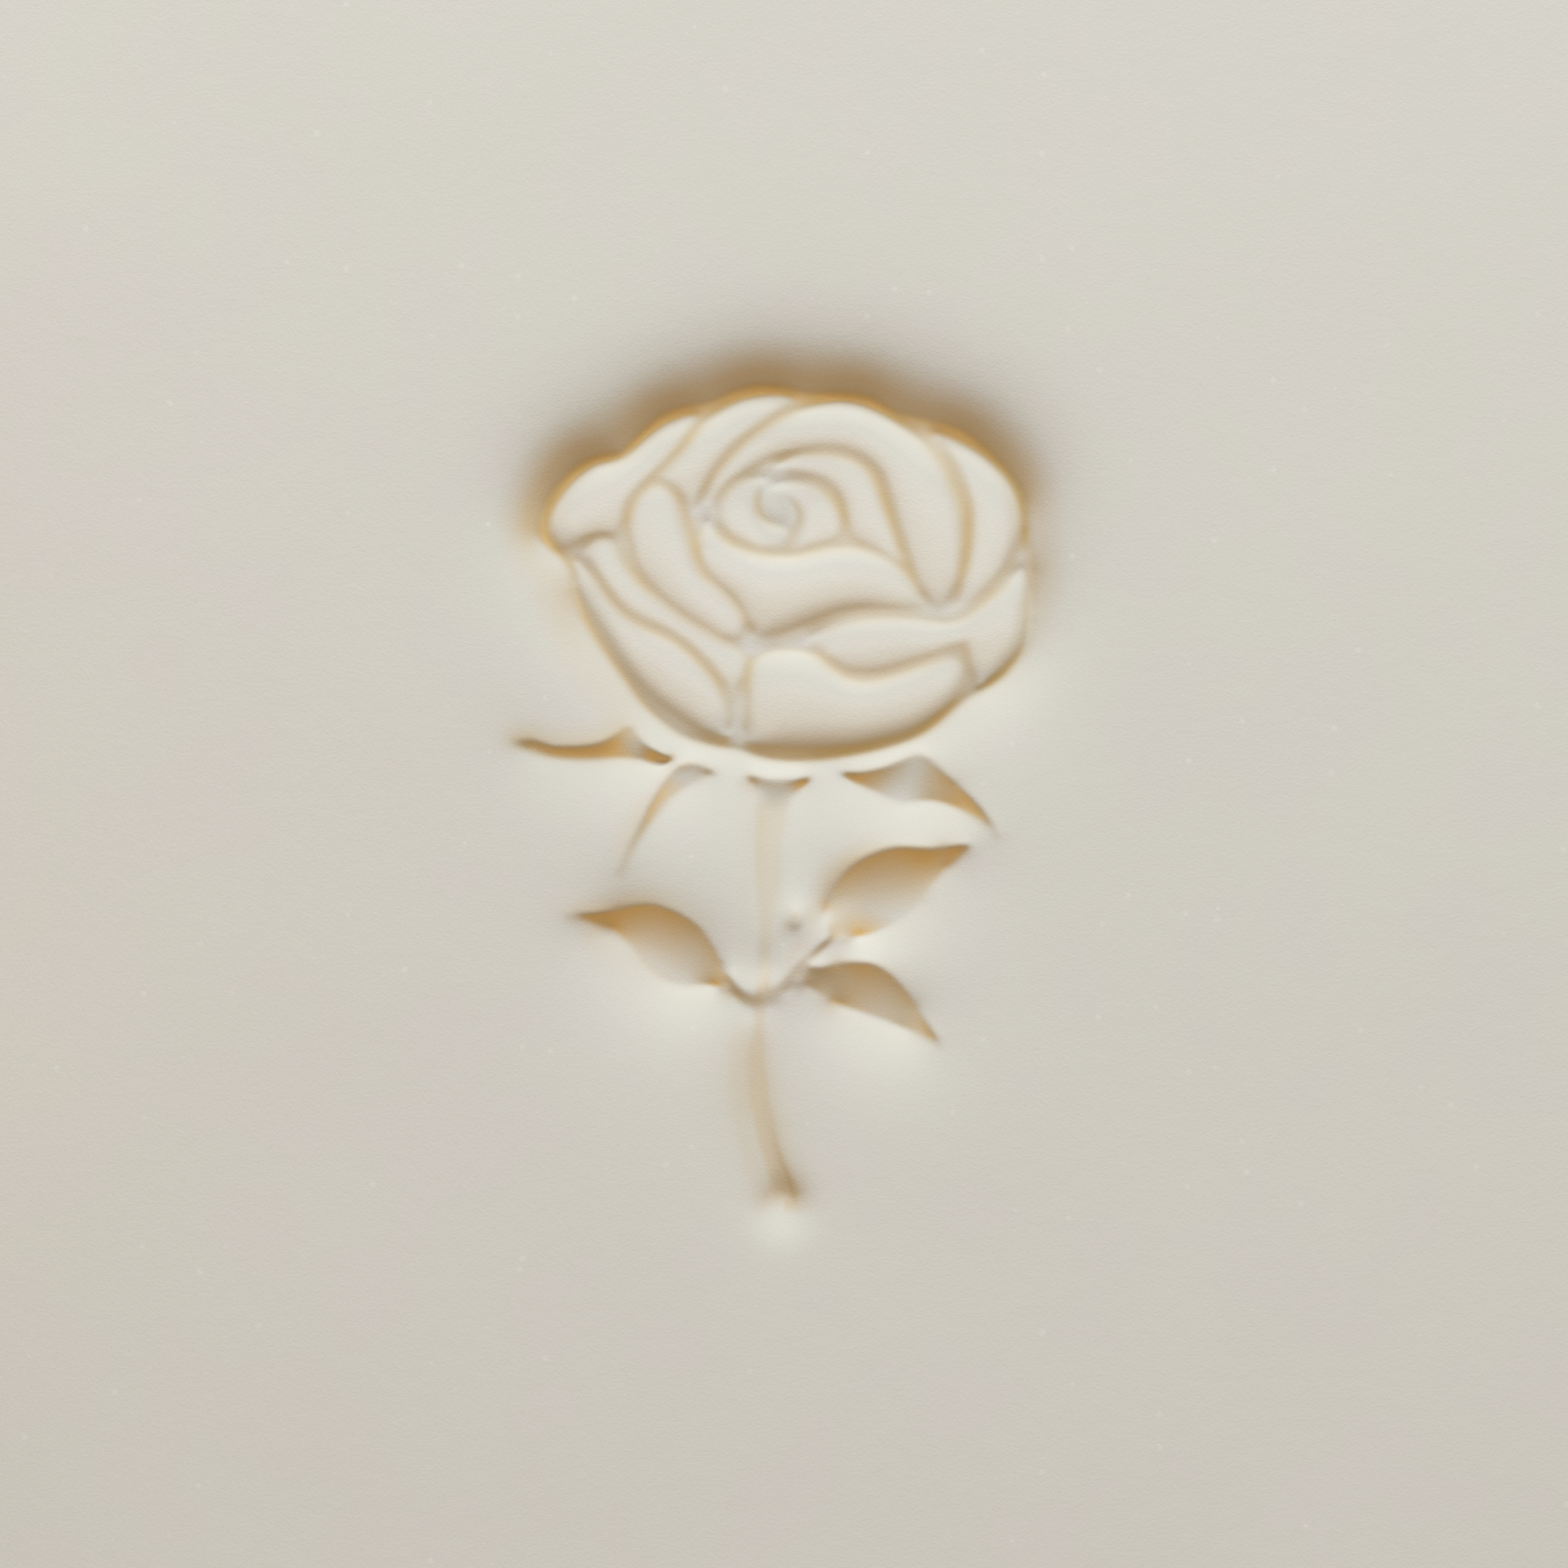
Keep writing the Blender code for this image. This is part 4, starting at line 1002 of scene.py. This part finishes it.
low, high = own_reach("handle")
handle_radius = (high.x - low.x) / 2
grip = rounded_line([(handle_radius * radius, NECK_END + (high.z - NECK_END) * height)
                     for height, radius in zip(handle_height_shares, handle_radius_shares)])
handle = turned(
    [(0, STUD_END), (STUD_BORE, STUD_END), (STUD_BORE, INSERT_END), (INSERT_BORE, INSERT_END),
     (INSERT_BORE, low.z), (NECK_RADIUS - NECK_CHAMFER, low.z),
     (NECK_RADIUS, low.z + NECK_CHAMFER), (NECK_RADIUS, NECK_END)] + grip
    + [(SHANK_BORE, high.z), (SHANK_BORE, SHANK_END), (0, SHANK_END)], steps=128)
handle_pith = Matrix.Translation((0.018, -0.010, 0))
lay_piece(handle, "beech_handle", beech("beech_handle", stamp_frame @ handle_pith),
          ["handle"], sharp=45)

# A domed brass button closes the end of the handle. Its short shank is pressed into a hole in
# the wood.
BUTTON_HEIGHT = 0.0020
BUTTON_RIM = 0.0006
BUTTON_EDGE = 0.0001
BUTTON_SHANK = 0.0016
SHANK_CHAMFER = 0.0003
DOME_STEPS = 16
low, high = own_reach("end_button")
button_radius = (high.x - low.x) / 2
button_seat = high.z - BUTTON_HEIGHT
dome = [(button_radius * math.cos(turn),
         button_seat + BUTTON_RIM + (high.z - button_seat - BUTTON_RIM) * math.sin(turn))
        for turn in (k * math.pi / 2 / DOME_STEPS for k in range(1, DOME_STEPS))]
button = turned(
    [(0, low.z), (BUTTON_SHANK - SHANK_CHAMFER, low.z), (BUTTON_SHANK, low.z + SHANK_CHAMFER),
     (BUTTON_SHANK, button_seat), (button_radius - BUTTON_EDGE, button_seat),
     (button_radius, button_seat + BUTTON_EDGE), (button_radius, button_seat + BUTTON_RIM)]
    + dome + [(0, high.z)], steps=96)
lay_piece(button, "brass_button", brass("button_brass", stamp_frame, "face"),
          ["end_button"], sharp=35)

# The floor is a plain pale studio floor that fades out into a world that is white where it
# is seen directly.
FLOOR_SIZE = 6.0
floor_fade = (0.14, 0.33)
FLOOR_PATCH = 0.2
floor_colour = (0.82, 0.82, 0.81, 1)
floor_worn = (0.80, 0.80, 0.79, 1)
floor_shape = bmesh.new()
bmesh.ops.create_grid(floor_shape, x_segments=1, y_segments=1, size=FLOOR_SIZE / 2)
floor_mesh = bpy.data.meshes.new("floor")
floor_shape.to_mesh(floor_mesh)
floor_shape.free()
floor_material, floor_shader, floor_place = new_material("floor_paint", Roughness=0.9)
colour = plain(floor_place, floor_colour).mixed(floor_worn, grain(floor_place, FLOOR_PATCH))
finish_surface(floor_shader, colour)
from_middle = floor_place.add("VectorMath", {"operation": "LENGTH"}, {0: floor_place},
                              output="Value")
floor_material.node_tree.links.new((1 - from_middle.ramp(*floor_fade)).socket,
                                   floor_shader.inputs["Alpha"])
floor_mesh.materials.append(floor_material)
floor = bpy.data.objects.new("floor", floor_mesh)
bpy.context.scene.collection.objects.link(floor)

# The world gives a dim warm light, and is white where it is seen directly, in gloss or
# through glass.
ambient_colour = (0.47, 0.38, 0.30, 1)
seen_colour = (1, 1, 1, 1)
world = bpy.data.worlds.new("studio")
bpy.context.scene.world = world
world.use_nodes = True
sky = Finish(world.node_tree)
camera_ray = sky.add("LightPath", output="Is Camera Ray")
gloss_ray = sky.add("LightPath", output="Is Glossy Ray")
glass_ray = sky.add("LightPath", output="Is Transmission Ray")
seen = camera_ray + gloss_ray + glass_ray
backdrop = plain(sky, ambient_colour).mixed(seen_colour, seen.math("MINIMUM", seen, 1))
world.node_tree.links.new(backdrop.socket, world.node_tree.nodes["Background"].inputs["Color"])

# One large soft lamp stands beyond the top of the rose, as a window would, and the camera
# looks straight down on the rose.
WINDOW_DISTANCE = 0.8
WINDOW_HEIGHT_ANGLE = math.radians(33)
WINDOW_TURN = math.radians(1)
WINDOW_WIDTH = 0.5
WINDOW_HEIGHT = 0.4
WINDOW_POWER = 7.4
window_colour = (0.88, 1.0, 1.12)
CAMERA_HEIGHT = 0.240
LENS_LENGTH = 100
SENSOR_WIDTH = 36
target = Vector((0, 0, clay_level))
towards = Vector((math.sin(WINDOW_TURN) * math.cos(WINDOW_HEIGHT_ANGLE),
                  math.cos(WINDOW_TURN) * math.cos(WINDOW_HEIGHT_ANGLE),
                  math.sin(WINDOW_HEIGHT_ANGLE)))
lamp = bpy.data.lights.new("window", "AREA")
lamp.shape = "RECTANGLE"
lamp.size, lamp.size_y = WINDOW_WIDTH, WINDOW_HEIGHT
lamp.energy = WINDOW_POWER
lamp.color = window_colour
window = bpy.data.objects.new("window", lamp)
window.location = target + towards * WINDOW_DISTANCE
window.rotation_mode = "QUATERNION"
window.rotation_quaternion = (-towards).to_track_quat("-Z", "Y")
bpy.context.scene.collection.objects.link(window)

camera_data = bpy.data.cameras.new("camera")
camera_data.lens = LENS_LENGTH
camera_data.sensor_width = SENSOR_WIDTH
camera = bpy.data.objects.new("camera", camera_data)
camera.location = (0, 0, clay_level + CAMERA_HEIGHT)
bpy.context.scene.collection.objects.link(camera)
bpy.context.scene.camera = camera
bpy.context.scene.view_settings.view_transform = "Standard"
